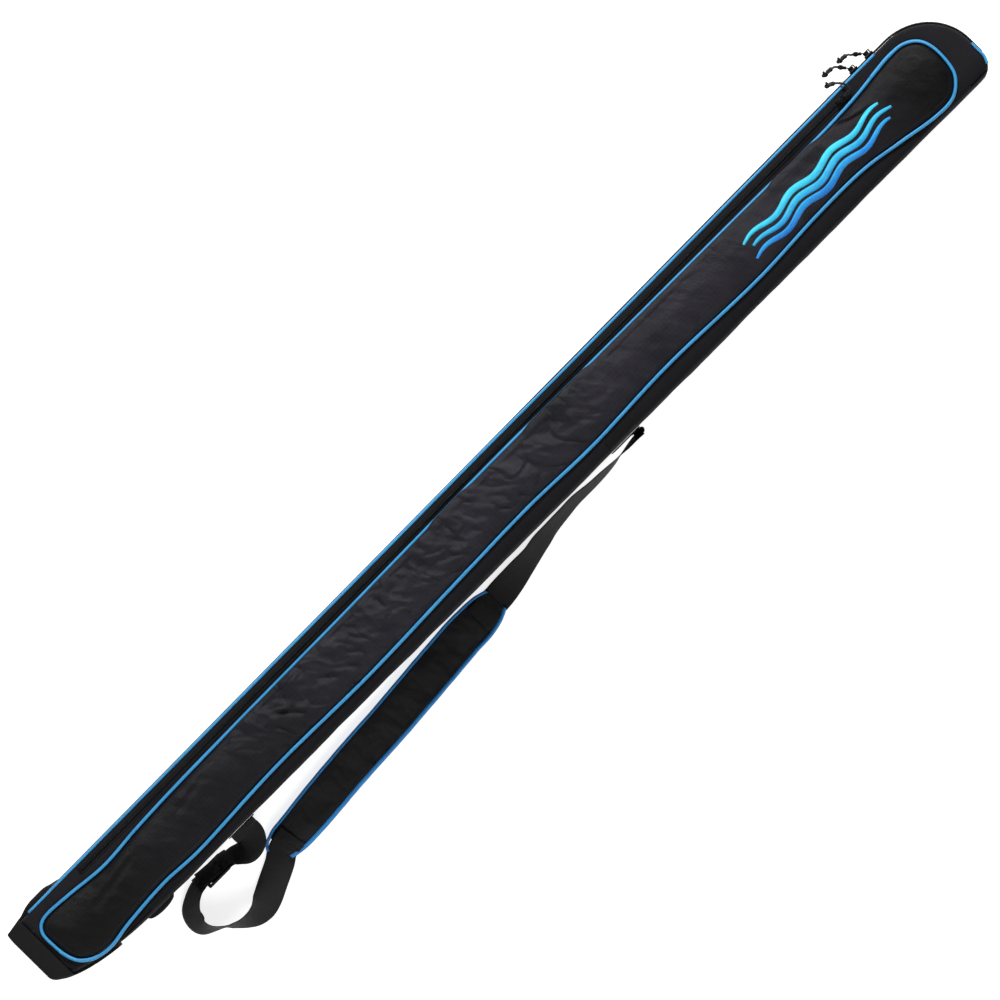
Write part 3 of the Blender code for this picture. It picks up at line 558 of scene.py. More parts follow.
def stack_faces(rings, size):
    """Faces of a stack of rings, closed at both ends."""
    faces = []
    for low in range(0, (rings - 1) * size, size):
        for k in range(size):
            m = (k + 1) % size
            faces.append((low + k, low + m, low + size + m, low + size + k))
    return faces + [list(range(size))[::-1], list(range((rings - 1) * size, rings * size))]


def apply_all(obj):
    """Bake an object's modifiers into its own mesh."""
    bpy.context.view_layer.update()
    graph = bpy.context.evaluated_depsgraph_get()
    mesh = bpy.data.meshes.new_from_object(obj.evaluated_get(graph))
    obj.modifiers.clear()
    obj.data = mesh
    return obj


def cut(obj, tool, operation):
    change = obj.modifiers.new(operation.lower(), "BOOLEAN")
    change.operation = operation
    change.solver = "EXACT"
    change.object = tool
    apply_all(obj)
    bpy.data.objects.remove(tool)
    return obj


def through(points, count, cyclic=False):
    """Even samples of a smooth curve through route points."""
    size = len(points)
    spans = size if cyclic else size - 1
    fine = []
    for span in range(spans):
        p1 = Vector(points[span])
        p2 = Vector(points[(span + 1) % size])
        p0 = Vector(points[(span - 1) % size]) if cyclic or span > 0 else p1 * 2 - p2
        p3 = Vector(points[(span + 2) % size]) if cyclic or span < spans - 1 else p2 * 2 - p1
        for step in range(12):
            t = step / 12
            a = (p1 * 2) + (p2 - p0) * t
            b = (p0 * 2 - p1 * 5 + p2 * 4 - p3) * t ** 2
            c = (p1 * 3 - p0 - p2 * 3 + p3) * t ** 3
            fine.append((a + b + c) * 0.5)
    fine.append(Vector(points[0]) if cyclic else Vector(points[-1]))
    reach = lengths([place.xyz for place in fine])
    total = count if cyclic else count - 1
    picked = []
    index = 0
    for k in range(count):
        goal = reach[-1] * k / total
        while index < len(reach) - 2 and reach[index + 1] < goal:
            index += 1
        part = (goal - reach[index]) / max(reach[index + 1] - reach[index], 1e-9)
        picked.append(fine[index].lerp(fine[index + 1], part))
    return picked


def tube(name, points, radius, material, sides=12, cyclic=False, swell=None):
    """A round tube whose rings are carried along the points without twisting."""
    count = len(points)
    rows = []
    side = None
    for i, point in enumerate(points):
        along = heading(points, i, cyclic)
        if side is None:
            side = along.orthogonal().normalized()
        side = (side - along * side.dot(along)).normalized()
        up = along.cross(side)
        r = radius * (swell(i / max(count - 1, 1)) if swell else 1.0)
        rows.append([Vector(point) + (side * math.cos(angle) + up * math.sin(angle)) * r
                     for angle in around(sides)])
    if cyclic:
        rows.append(rows[0])
    obj = skin(name, rows, material, ends=not cyclic)
    if cyclic:
        outward(obj, merge=True)
    return obj


def scatter(name, verts, faces, places, material):
    """One mesh of many copies of a small shape; a place is origin, X, Y and Z axes."""
    shape = np.array(verts, float)
    all_verts, all_faces, uvs = [], [], []
    for n, (origin, x, y, z) in enumerate(places):
        frame_axes = np.array([tuple(x), tuple(y), tuple(z)])
        all_verts.append(shape @ frame_axes + np.array(tuple(origin)))
        base = n * len(shape)
        all_faces += [[base + k for k in face] for face in faces]
        uvs += [(shape[k][0], shape[k][1]) for face in faces for k in face]
    return mesh_object(name, np.concatenate(all_verts), all_faces, uvs, material)


def capsule(length, radius):
    """A stitch: a short thread that dips at both ends."""
    verts = []
    for t, r, z in ((-0.5, 0.25, -0.7), (-0.36, 0.9, 0.1), (0.0, 1.0, 0.45),
                    (0.36, 0.9, 0.1), (0.5, 0.25, -0.7)):
        for angle in around(6):
            y = math.cos(angle) * r * radius
            verts.append((t * length, y, math.sin(angle) * r * radius + z * radius))
    return verts, stack_faces(5, 6)


def stitches(name, points, normals, pitch=0.0036, length=0.0027, radius=0.00032):
    """A row of stitches along a run of points, lying on the surface."""
    places = []
    for spot, along, index, part in even_run(points, pitch):
        up = normals[index].lerp(normals[index + 1], part)
        up = (up - along * up.dot(along)).normalized()
        places.append((spot, along, up.cross(along), up))
    return scatter(name, *capsule(length, radius), places, "stitch")


def smooth_step(low, high, value):
    t = min(max((value - low) / (high - low), 0.0), 1.0)
    return t * t * (3 - 2 * t)


def near(value, middle, reach, fade):
    """1 inside middle +- reach, falling to 0 over fade."""
    return 1.0 - smooth_step(reach, reach + fade, abs(value - middle))


def push(obj, amount):
    """Move every vertex along its normal by what amount says."""
    obj.data.update()
    normals = [v.normal.copy() for v in obj.data.vertices]
    for vertex, normal in zip(obj.data.vertices, normals):
        vertex.co += normal * amount(vertex.co, normal)
    obj.data.update()


def ripple(place, x, y, z, seed):
    return noise.noise(Vector((place.x * x + seed, place.y * y - seed, place.z * z + seed * 0.5)))


# ---------------------------------------------------------------- body outline
def left_wall(x):
    return LEFT_Y0 + LEFT_SLOPE * x


def right_wall(x):
    return RIGHT_Y0 + RIGHT_SLOPE * x


def hinge_y(x):
    return HINGE_Y0 + HINGE_SLOPE * x


def arc(cx, cy, rx, ry, start, end, steps, round_start, round_end):
    points = []
    for k in range(steps + 1):
        t = k / steps
        angle = math.radians(start + (end - start) * t)
        normal = Vector((math.cos(angle) / rx, math.sin(angle) / ry)).normalized()
        place = Vector((cx + rx * math.cos(angle), cy + ry * math.sin(angle)))
        points.append((place, normal, round_start + (round_end - round_start) * t))
    return points


def body_outline(grow=0.0, longest=0.010):
    """The case seen from the front, anticlockwise: place, outward normal, fold."""
    bend = -right_wall(-0.646) - 0.0185
    points = arc(-0.646, -0.0185, 0.160, bend, 182, 206, 12, 0.0, 0.3)
    points += arc(-0.646, -0.0185, 0.160, bend, 212, 270, 12, 0.4, 1.0)
    x = X_TOP - TOP_R
    points += arc(x, right_wall(x) + TOP_R, TOP_R, TOP_R, 270, 360, 10, 1.0, 0.0)
    x = X_TOP - CORNER_X
    points += arc(x, CORNER_Y0, CORNER_X, left_wall(x) - CORNER_Y0, 0, 90, 18, 0.0, 0.0)
    x = X_BASE + 0.014
    points += arc(x, left_wall(x) - 0.014, 0.014, 0.014, 90, 180, 6, 0.0, 0.0)
    dense = []
    for here, there in zip(points, points[1:] + points[:1]):
        parts = max(1, math.ceil((there[0] - here[0]).length / longest))
        for k in range(parts):
            t = k / parts
            dense.append((here[0].lerp(there[0], t), here[1].lerp(there[1], t).normalized(),
                          here[2] + (there[2] - here[2]) * t))
    return [(place + normal * grow, normal, fold) for place, normal, fold in dense]


def middle_of(place):
    """Nearest point of the body's middle line."""
    return Vector((min(max(place.x, X_BASE + 0.05), X_TOP - 0.055), -0.001 + 0.003 * place.x))


def body_rows(grow, bottom, top, seam=False):
    """Rows from the middle of the back, round the walls, to the middle of the front."""
    outline = body_outline(grow)
    rows = []

    def flat(z, share, inset_by):
        row = []
        for place, normal, fold in outline:
            spot = place - normal * (0.005 + inset_by * fold + 0.0022)
            spot = spot.lerp(middle_of(spot), share)
            row.append(Vector((spot.x, spot.y, z)))
        rows.append(row)

    for share in (0.92, 0.75, 0.55, 0.38, 0.24, 0.13, 0.05):
        flat(bottom, share, 0.009)
    if seam:
        for extra, sink in ((0.0016, 0.0), (0.0010, 0.0008), (0.0004, 0.0)):
            rows.append([Vector((*(p - n * (0.005 + 0.009 * f + extra)), bottom + sink))
                         for p, n, f in outline])

    def ring(inset, height):
        """A row set in from the outline, at a height: both depend on the fold."""
        rows.append([Vector((*(p - n * inset(f)), height(f))) for p, n, f in outline])

    quarter = [math.radians(90 * k / 7) for k in range(8)]
    for angle in quarter:
        ring(lambda f: (0.005 + 0.009 * f) * (1 - math.sin(angle)),
             lambda f: bottom + (0.005 + 0.013 * f) * (1 - math.cos(angle)))
    for share in [k / 9 for k in range(1, 9)]:
        ring(lambda f: 0.0,
             lambda f: (bottom + 0.005 + 0.013 * f) * (1 - share)
             + (top - 0.005 - 0.011 * f) * share)
    for angle in quarter:
        ring(lambda f: (0.005 + 0.005 * f) * (1 - math.cos(angle)),
             lambda f: top - (0.005 + 0.011 * f) * (1 - math.sin(angle)))
    for share in (0.05, 0.13, 0.24, 0.38, 0.55, 0.75, 0.92):
        flat(top, share, 0.005)
    return rows


def prism(name, outline, low_z, high_z):
    """An upright block over a flat outline."""
    base = [Vector((*p, low_z)) for p in outline]
    roof = [Vector((*p, high_z)) for p in outline]
    return skin(name, [base, roof], "lining", ends=True)


def opening_block(name, clearance, low_z):
    start = FRONT_START - 0.002 + clearance
    y0 = hinge_y(start) + clearance
    y1 = hinge_y(0.9) + clearance
    return prism(name, [(start, y0), (0.9, y1), (0.9, 0.09), (start, 0.09)], low_z, low_z + 0.06)


# Where webbing is sewn to the flank it can't ripple: middle and half length along X
STILL = ((0.1745, 0.030), (-0.510, 0.030), (-0.6515, 0.026))


def body_slack(place, normal):
    """Soft, uneven fabric between the stiffened seams."""
    wall = smooth_step(0.004, 0.018, place.z) * (1 - smooth_step(0.060, 0.070, place.z))
    if abs(normal.z) > 0.6:
        wall = 0.0
    amount = 0.0009 * ripple(place, 16, 16, 34, 3.1) + 0.0005 * ripple(place, 55, 40, 70, 8.2)
    if place.y < -0.045 and normal.y < -0.4:
        fold = smooth_step(0.006, 0.020, place.z) * (1 - smooth_step(0.070, 0.082, place.z))
        for x, reach in STILL:
            fold *= 1 - near(place.x, x, reach * 0.8, 0.03)
        lean = ripple(place, 13, 10, 28, 5.5) * 0.0013 + ripple(place, 48, 10, 20, 1.5) * 0.0005
        return fold * lean
    return wall * amount


def front_slack(place, normal):
    """The front's flat borders dip and rise a little; seams and zip stay put."""
    if normal.z < 0.8 or place.z < DEPTH - 0.002:
        return 0.0
    strip = smooth_step(0.0010, 0.006, -0.040 - place.y)
    end_strip = smooth_step(0.796, 0.806, place.x) * (1 - smooth_step(0.820, 0.826, place.x))
    strip = max(strip, end_strip)
    return strip * (0.0005 * ripple(place, 40, 60, 1, 2.7) - 0.0003)


def make_body():
    form = skin("body_form", body_rows(0.0, 0.0, DEPTH, True), ("shell", "lining"), ends=True)
    if form.data.polygons[0].normal.z > 0:
        form.data.flip_normals()
    push(form, body_slack)
    push(form, front_slack)
    shell = thicken(form, "wall", WALL)
    shell.use_even_offset = True
    shell.material_offset = 1
    apply_all(form)
    front = form.copy()
    front.data = form.data.copy()
    SCENE.collection.objects.link(front)
    form.name = "back_skin"
    front.name = "front_skin"
    back = cut(form, opening_block("back_cut", -0.0005, ZIP_Z - ZIP_HALF_GAP), "DIFFERENCE")
    front = cut(front, opening_block("front_keep", 0.0005, ZIP_Z + ZIP_HALF_GAP), "INTERSECT")
    return back, front


back_skin, front_skin = make_body()
fit(back_skin, "case_back", "shell_fabric", "back_panel", "zip_side_gusset", "strap_side_gusset",
    "top_end_gusset", "base_gusset")
fit(front_skin, "case_front", "shell_fabric", "front_shell")


# ---------------------------------------------------------------- moulded base cap
def cap_shape(place):
    """Taper the cap's zip-side corner and let its upper wing stand out."""
    x, y = place.x, place.y
    outer = smooth_step(0.0008, CAP_T, y - left_wall(x))
    wing = smooth_step(-0.790, -0.760, x) * (1 - smooth_step(-0.738, -0.727, x))
    place.y += 0.0052 * wing * outer
    cx, cy = X_BASE + 0.014, left_wall(X_BASE + 0.014) - 0.014
    dx, dy = cx - x, y - cy
    if dx > 0 and dy > 0:
        square = (max(dx, dy) / math.hypot(dx, dy)) ** -0.72
        place.x = cx - dx * square
        place.y = cy + dy * square
    drop = 0.0595 - 0.17 * max(0.0, -0.779 - place.x)
    if place.y > drop and place.x < -0.779:
        place.y = drop
    place.x -= 0.0018 * smooth_step(0.800, 0.809, -place.x)


def make_cap():
    cap = skin("base_boot", body_rows(CAP_T, -GAP, DEPTH + 0.0034), "cap", ends=True)
    for vertex in cap.data.vertices:
        vertex.co.x = max(vertex.co.x, X_BASE - 0.0078)
    inside = skin("cap_inside", body_rows(GAP + 0.0002, 0.0, DEPTH + GAP), "lining", ends=True)
    cap = cut(cap, inside, "DIFFERENCE")
    boot = [(-0.90, -0.02), (-0.722, -0.02), (-0.7222, 0.030), (-0.725, 0.047), (-0.729, 0.057)]
    boot += [(-0.735, 0.064), (-0.743, 0.0695), (-0.752, 0.073), (-0.770, 0.0770)]
    boot += [(FRONT_START - 0.0018, 0.0774), (FRONT_START - 0.0018, 0.12), (-0.90, 0.12)]
    rows = [[Vector((x, y, z)) for x, z in boot] for y in (-0.09, 0.09)]
    cap = cut(cap, skin("boot_block", rows, "cap", ends=True), "INTERSECT")
    low, high = (-0.9, -0.09), (-0.70, 0.09)
    floor = prism("floor_block", [low, (high[0], low[1]), high, (low[0], high[1])], -0.01, 0.0)
    cap = cut(cap, floor, "DIFFERENCE")
    for vertex in cap.data.vertices:
        cap_shape(vertex.co)
    edge = cap.modifiers.new("edge", "BEVEL")
    edge.width = 0.0009
    edge.segments = 2
    edge.angle_limit = math.radians(40)
    apply_all(cap)
    dress(cap, "cap")
    return cap


fit(make_cap(), "case_back", "cap", "base_cap")

# ---------------------------------------------------------------- pocket panel
PANEL_ROUTE = [
    (-0.7785, 0.004), (-0.7770, 0.026), (-0.7610, 0.0370), (-0.7200, 0.0350),
    (-0.6630, 0.0295), (-0.6000, 0.0335), (-0.5200, 0.0360), (-0.4000, 0.0370),
    (-0.2500, 0.0375), (-0.1000, 0.0390), (0.0500, 0.0400), (0.2000, 0.0390),
    (0.3600, 0.0380), (0.5000, 0.0370), (0.6120, 0.0352), (0.6800, 0.0378),
    (0.7200, 0.0420), (0.7450, 0.0440), (0.7680, 0.0420), (0.7850, 0.0310),
    (0.7925, 0.0120), (0.7920, -0.0150), (0.7850, -0.0345), (0.7640, -0.0500),
    (0.7300, -0.0505), (0.6800, -0.0420), (0.6200, -0.0330), (0.5400, -0.0322),
    (0.4300, -0.0360), (0.2800, -0.0315), (0.1400, -0.0355), (0.0300, -0.0322),
    (-0.1000, -0.0345), (-0.2600, -0.0385), (-0.4200, -0.0362), (-0.5600, -0.0415),
    (-0.6250, -0.0388), (-0.6900, -0.0428), (-0.7280, -0.0480), (-0.7520, -0.0440),
    (-0.7690, -0.0320), (-0.7765, -0.0150),
]
PIPE_Z = DEPTH + GAP + PIPE_R
PANEL_Z = DEPTH + GAP + 0.0001
panel_loop = through([(x, y, PIPE_Z) for x, y in PANEL_ROUTE], LOOP, cyclic=True)


def spine(place):
    return Vector((min(max(place.x, -0.745), 0.757), -0.001 + 0.003 * place.x, 0.0))


def inward_of(points, i):
    along = points[(i + 1) % len(points)] - points[i - 1]
    side = Vector((-along.y, along.x, 0)).normalized()
    toward = spine(points[i]) - points[i]
    return side if side.dot(toward) > 0 else -side


EDGE = PIPE_R + 0.0006
DOME = [(EDGE - 0.0002, 0.0, 0.0), (EDGE + 0.0001, 0.0, 0.14), (EDGE + 0.0007, 0.0, 0.29),
        (EDGE + 0.0018, 0.0, 0.43), (EDGE + 0.0034, 0.0, 0.55)]
for share in (0.05, 0.11, 0.18, 0.26, 0.34, 0.42, 0.51, 0.60, 0.69, 0.78, 0.86):
    rise = 0.55 + 0.45 * math.sin(math.pi / 2 * min(1.0, share * 1.16) ** 0.8)
    DOME.append((EDGE + 0.0034, share, rise))


def crease(place, start, end, width):
    """How close a point is to a straight crease, 0 to 1."""
    a, b = Vector(start), Vector(end)
    p = Vector((place.x, place.y))
    t = min(max((p - a).dot(b - a) / (b - a).length_squared, 0.0), 1.0)
    gap = (p - a.lerp(b, t)).length
    return math.exp(-(gap / width) ** 2) * math.sin(math.pi * (0.12 + 0.76 * t))


CREASES = [
    (0.632, 0.034, 0.655, 0.0215, 0.0026, 0.0022), (0.652, 0.0225, 0.682, 0.0150, 0.0026, 0.0020),
    (-0.378, 0.012, -0.352, -0.013, 0.0024, 0.0020), (-0.348, 0.024, -0.330, 0.030, 0.0022, 0.0018),
    (-0.362, 0.016, -0.349, 0.024, 0.0022, 0.0016), (-0.310, 0.006, -0.284, -0.016, 0.0026, 0.0015),
    (-0.286, 0.000, -0.262, -0.020, 0.0026, 0.0015),
    (-0.262, 0.004, -0.246, -0.012, 0.0026, 0.0014),
    (-0.244, 0.012, -0.228, -0.006, 0.0030, 0.0014),
    (-0.222, -0.002, -0.204, -0.018, 0.0030, 0.0014),
    (-0.168, 0.010, -0.152, -0.010, 0.0034, 0.0013),
    (-0.130, -0.004, -0.108, -0.024, 0.0028, 0.0018),
    (-0.084, -0.006, -0.062, -0.022, 0.0028, 0.0018),
    (-0.070, 0.012, -0.058, -0.008, 0.0030, 0.0014),
    (-0.042, 0.002, -0.032, -0.014, 0.0028, 0.0014), (0.000, -0.006, 0.014, -0.020, 0.0028, 0.0018),
    (0.008, 0.010, 0.018, -0.002, 0.0030, 0.0012), (0.150, 0.002, 0.164, -0.014, 0.0030, 0.0013),
    (0.120, 0.032, 0.126, 0.024, 0.0026, 0.0014), (-0.024, 0.031, -0.018, 0.024, 0.0026, 0.0014),
    (0.060, 0.030, 0.066, 0.012, 0.0030, 0.0011), (-0.703, 0.001, -0.630, 0.013, 0.0050, 0.0016),
    (-0.560, 0.010, -0.500, 0.020, 0.0050, 0.0010), (-0.175, 0.000, -0.160, -0.018, 0.0030, 0.0014),
]


def panel_form(place):
    """Height of the rumples on the pocket panel."""
    x, y = place.x, place.y
    busy = smooth_step(-0.50, -0.36, x) * (1 - 0.85 * smooth_step(0.10, 0.26, x))
    busy *= 1 - smooth_step(0.40, 0.60, x)
    warp = 0.010 * noise.noise(Vector((x * 22, y * 22, 6.6)))
    u = x * 0.82 + y * 0.57 + warp
    v = -x * 0.57 + y * 0.82
    big = noise.noise(Vector((u * 34, v * 17, 4.2)))
    small = noise.noise(Vector((u * 76, v * 40, 9.7)))
    tiny = noise.noise(Vector((u * 150, v * 88, 5.1)))
    fine = noise.noise(Vector((u * 30 + 7, v * 15, 2.2)))
    second = noise.noise(Vector((u * 52 + 3, v * 30, 6.2)))
    long_wave = noise.noise(Vector((x * 7, y * 20, 1.3)))
    here = smooth_step(-0.05, 0.25, noise.noise(Vector((x * 31, y * 31, 8.8))))
    fold = here * math.exp(-(fine / 0.075) ** 2)
    fold += 0.5 * (1 - here) * math.exp(-(second / 0.09) ** 2)
    height = busy * (0.0050 * big + 0.0024 * small + 0.0010 * tiny - 0.0024 * fold)
    height += (0.5 + 0.5 * (1 - busy)) * (0.0022 * long_wave + 0.0007 * small)
    for x0, y0, x1, y1, width, deep in CREASES:
        if abs(x - x0) < 0.09:
            start, end = (x0, y0), (x1, y1)
            height -= 1.4 * deep * crease(place, start, end, width)
            lip = Vector((place.x - width * 1.6, place.y - width * 1.2))
            height += deep * 0.9 * crease(lip, start, end, width * 1.3)
    return height


def overhang(x):
    """How far the panel bulges over its piping on the zip side."""
    lean = 0.0034 * smooth_step(-0.50, -0.40, x) * (1 - smooth_step(0.60, 0.68, x))
    lean += 0.0009 * smooth_step(0.18, 0.23, x) * (1 - smooth_step(0.52, 0.60, x))
    full = near(x, -0.042, 0.022, 0.022) + near(x, 0.150, 0.044, 0.022)
    full += near(x, 0.567, 0.028, 0.022)
    return lean + 0.0032 * full


def bridge_middle(obj, last_row, size):
    """Close the innermost ring with quads between its two long sides."""
    build = bmesh.new()
    build.from_mesh(obj.data)
    build.verts.ensure_lookup_table()
    ring = [build.verts[last_row * size + j] for j in range(size)]
    half = size // 2
    rows = []
    for i in range(1, half):
        a, b = ring[i], ring[size - i]
        inner = [build.verts.new(a.co.lerp(b.co, t)) for t in (0.25, 0.5, 0.75)]
        rows.append([a, *inner, b])
    for here, there in zip(rows, rows[1:]):
        for k in range(4):
            build.faces.new((here[k], there[k], there[k + 1], here[k + 1])).smooth = True
    build.faces.new([ring[0], *rows[0]]).smooth = True
    build.faces.new([ring[half], *rows[-1][::-1]]).smooth = True
    bmesh.ops.recalc_face_normals(build, faces=build.faces)
    build.to_mesh(obj.data)
    build.free()


def make_panel():
    rows = []
    for offset, share, rise in DOME:
        row = []
        for i, place in enumerate(panel_loop):
            inward = inward_of(panel_loop, i)
            spot = place + inward * offset
            if place.y > 0:
                lean = smooth_step(0.20, 0.45, rise) * (1 - smooth_step(0.05, 0.45, share))
                spot -= inward * overhang(place.x) * lean
                lift = 0.0022 * lean * smooth_step(0.0030, 0.0060, overhang(place.x))
            else:
                lift = 0.0
            spot = spot.lerp(spine(place), share)
            z = PANEL_Z + PANEL_RISE * rise + lift
            row.append(Vector((spot.x, spot.y, z)))
        rows.append(row)
    panel = skin("pocket_panel", rows, "panel", close=False)
    bridge_middle(panel, len(DOME) - 1, len(panel_loop))
    face_up(panel)
    rim = PANEL_Z + PANEL_RISE * 0.14
    refine(panel, "SIMPLE")
    for vertex in panel.data.vertices:
        held = smooth_step(rim, PANEL_Z + PANEL_RISE * 0.70, vertex.co.z)
        low = -0.0002 - 0.0060 * (1 - smooth_step(0.022, 0.032, vertex.co.y))
        vertex.co.z += max(panel_form(vertex.co), low) * held
    thicken(panel, "cloth", 0.0010)
    apply_all(panel)
    return panel


pocket_panel = make_panel()
fit(pocket_panel, "case_front", "panel_fabric", "front_pocket_panel")

# ---------------------------------------------------------------- piping
panel_pipe = tube("panel_piping", panel_loop, PIPE_R, "piping", 14, cyclic=True)
fit(panel_pipe, "case_front", "piping", "pocket_panel_piping")


def sleeve(name, first, last):
    """Where the piping's ends overlap: a slightly thicker run of ribbed tape."""
    run = [panel_loop[i % LOOP] + Vector((0, 0, 0.0002)) for i in range(first, last)]
    piece = tube(name, run, PIPE_R + 0.00035, "piping", 14,
                 swell=lambda t: 0.86 + 0.14 * math.sin(math.pi * t) ** 0.3)
    fit(piece, "case_front", "piping")


sleeve("piping_lap_base", 882, 899)
sleeve("piping_lap_top", 417, 431)

EDGE_Z = DEPTH + 0.0003
side_run = []
for k in range(180):
    x = -0.772 + (0.735 + 0.772) * k / 179
    out = 0.0004 - 0.0009 * smooth_step(0.02, 0.20, x)
    side_run.append(Vector((x, left_wall(x) + out, EDGE_Z - 0.0008)))
side_pipe = tube("side_piping", side_run, EDGE_PIPE_R, "piping", 12)
fit(side_pipe, "case_front", "piping", "left_edge_piping")
top_route = [(X_TOP - 0.0005, -0.0180, EDGE_Z), (X_TOP - 0.0005, -0.0280, EDGE_Z)]
top_route += [(X_TOP - 0.0007, -0.0400, EDGE_Z), (X_TOP - 0.0046, -0.0500, EDGE_Z)]
top_pipe = tube("top_piping", through(top_route, 24), EDGE_PIPE_R, "piping", 12)
fit(top_pipe, "case_front", "piping", "top_edge_piping")


# ---------------------------------------------------------------- webbing and tapes
def ribbon(name, stations, half_width, half_thickness, material):
    """Flat woven strip: each station is x, y, z and its lean from upright in degrees."""
    rows = []
    count = len(stations)
    section = []
    for face in (1, -1):
        for k in range(9):
            t = face * (-1 + 2 * k / 8)
            rise = face * half_thickness * (1 - 0.35 * abs(t) ** 6)
            section.append((t * (half_width - half_thickness), rise))
        section.append((face * (half_width - half_thickness * 0.25), 0.0))
    for i, station in enumerate(stations):
        before = Vector(stations[max(i - 1, 0)][:3])
        after = Vector(stations[min(i + 1, count - 1)][:3])
        along = (after - before).normalized()
        side = Vector((-along.y, along.x, 0.0)).normalized()
        lean = math.radians(station[3])
        width = Vector((0, 0, math.cos(lean))) + side * math.sin(lean)
        width = (width - along * width.dot(along)).normalized()
        normal = along.cross(width)
        centre = Vector(station[:3])
        rows.append([centre + width * u + normal * v for u, v in section])
    return skin(name, rows, material, ends=True)


def zip_route(offset, height):
    """Stations along the main zip, up the zip side and round the top corner."""
    stations = [(ZIP_START, left_wall(ZIP_START) + offset, height, 0.0)]
    for place, normal, fold in body_outline(offset, 0.012)[::-1]:
        on_end = place.x > 0.74 and place.y > ZIP_END_Y
        on_side = place.y > 0.04 and place.x > ZIP_START + 0.004
        if on_end or on_side:
            stations.append((place.x, place.y, height, 0.0))
    stations.append((X_TOP + offset, ZIP_END_Y, height, 0.0))
    return stations


TAPE_OUT = GAP + 0.0004
zip_parts = [
    ("zip_tape_lower", "main_zip_tape_back", "case_back", ZIP_Z - 0.0072, 0.0050, 0.0004),
    ("zip_tape_upper", "main_zip_tape_front", "case_front", ZIP_Z + 0.0026, 0.0013, 0.0004),
]
for name, node, body, height, half, thick in zip_parts:
    piece = ribbon(name, zip_route(TAPE_OUT, height), half, thick, "tape")
    fit(piece, body, "zip_tape", node)


def coil_turn(width, out_low, out_high, foot, tip):
    """One turn of nylon coil: X along the zip, Y outward, Z from its tape to its tip."""
    verts = []
    section = [(foot, out_low), (foot, out_high * 0.55), ((foot + tip) / 2, out_high * 0.92),
               (tip - (tip - foot) * 0.22, out_high), (tip, out_high * 0.72), (tip, out_low)]
    for t in (-0.5, -0.28, 0.28, 0.5):
        pinch = 0.78 if abs(t) > 0.4 else 1.0
        middle = (foot + tip) / 2
        for z, y in section:
            y, z = out_low + (y - out_low) * pinch, middle + (z - middle) * pinch
            verts.append((t * width, y, z))
    return verts, stack_faces(4, len(section))


def chain(name, node, body, sign, shift):
    route = [Vector(s[:3]) for s in zip_route(0.0, ZIP_Z)]
    places = []
    for spot, along, index, part in even_run(route, 0.0018):
        out = Vector((-along.y, along.x, 0.0))
        up = Vector((0, 0, sign))
        places.append((spot + along * shift, along, out, up))
    verts, faces = coil_turn(0.00125, 0.0010, 0.0032, 0.0038, 0.00085)
    piece = scatter(name, verts, faces, places, "coil")
    outward(piece)
    fit(piece, body, "zip_coil", node)


chain("zip_coil_lower", "main_zip_chain_back", "case_back", -1, 0.0)
chain("zip_coil_upper", "main_zip_chain_front", "case_front", 1, 0.0009)

# Pocket zip: tape, two interlocked coils down its middle
pocket_run = []
for k in range(160):
    x = -0.690 + 1.370 * k / 159
    pocket_run.append((x, POCKET_Y + 0.0012 * x, DEPTH + GAP + 0.0004, 90.0))
pocket_tape = ribbon("pocket_tape", pocket_run, 0.0050, 0.0004, "tape")
fit(pocket_tape, "case_front", "zip_tape", "pocket_zip_tape")


def pocket_chain():
    line = [Vector((x, y, DEPTH + 0.0011)) for x, y, z, lean in pocket_run]
    places = []
    for n, (spot, along, index, part) in enumerate(even_run(line, 0.00085)):
        side = Vector((-along.y, along.x, 0)) * (1 if n % 2 else -1)
        up = UP.copy()
        places.append((spot, along * (1 if n % 2 else -1), up, side))
    verts, faces = coil_turn(0.00115, 0.0, 0.0017, 0.0019, -0.0005)
    piece = scatter("pocket_coil", verts, faces, places, "coil")
    outward(piece)
    fit(piece, "case_front", "zip_coil", "pocket_zip_chain")


pocket_chain()


# ---------------------------------------------------------------- cords, loops and knots
def knot(name, place, along):
    """A tied overhand knot with a short frayed tail."""
    along = along.normalized()
    side = along.orthogonal().normalized()
    up = along.cross(side)
    path = []
    for k in range(72):
        t = 2 * math.pi * k / 72
        a = math.sin(t) + 1.7 * math.sin(2 * t)
        b = math.cos(t) - 1.7 * math.cos(2 * t)
        c = -math.sin(3 * t)
        path.append(place + side * (a * 0.00110) + up * (b * 0.00110) + along * (c * 0.0019))
    body = tube(name, path, 0.00170, "cord", 10, cyclic=True)
    tail = [place + along * 0.0010, place + along * 0.0026 + side * 0.0004,
            place + along * 0.0046 + side * 0.0002]
    tip = tube(name + "_tail", through(tail, 8), 0.00150, "cord", 10,
               swell=lambda t: 1.0 + 0.22 * t)
    return body, tip


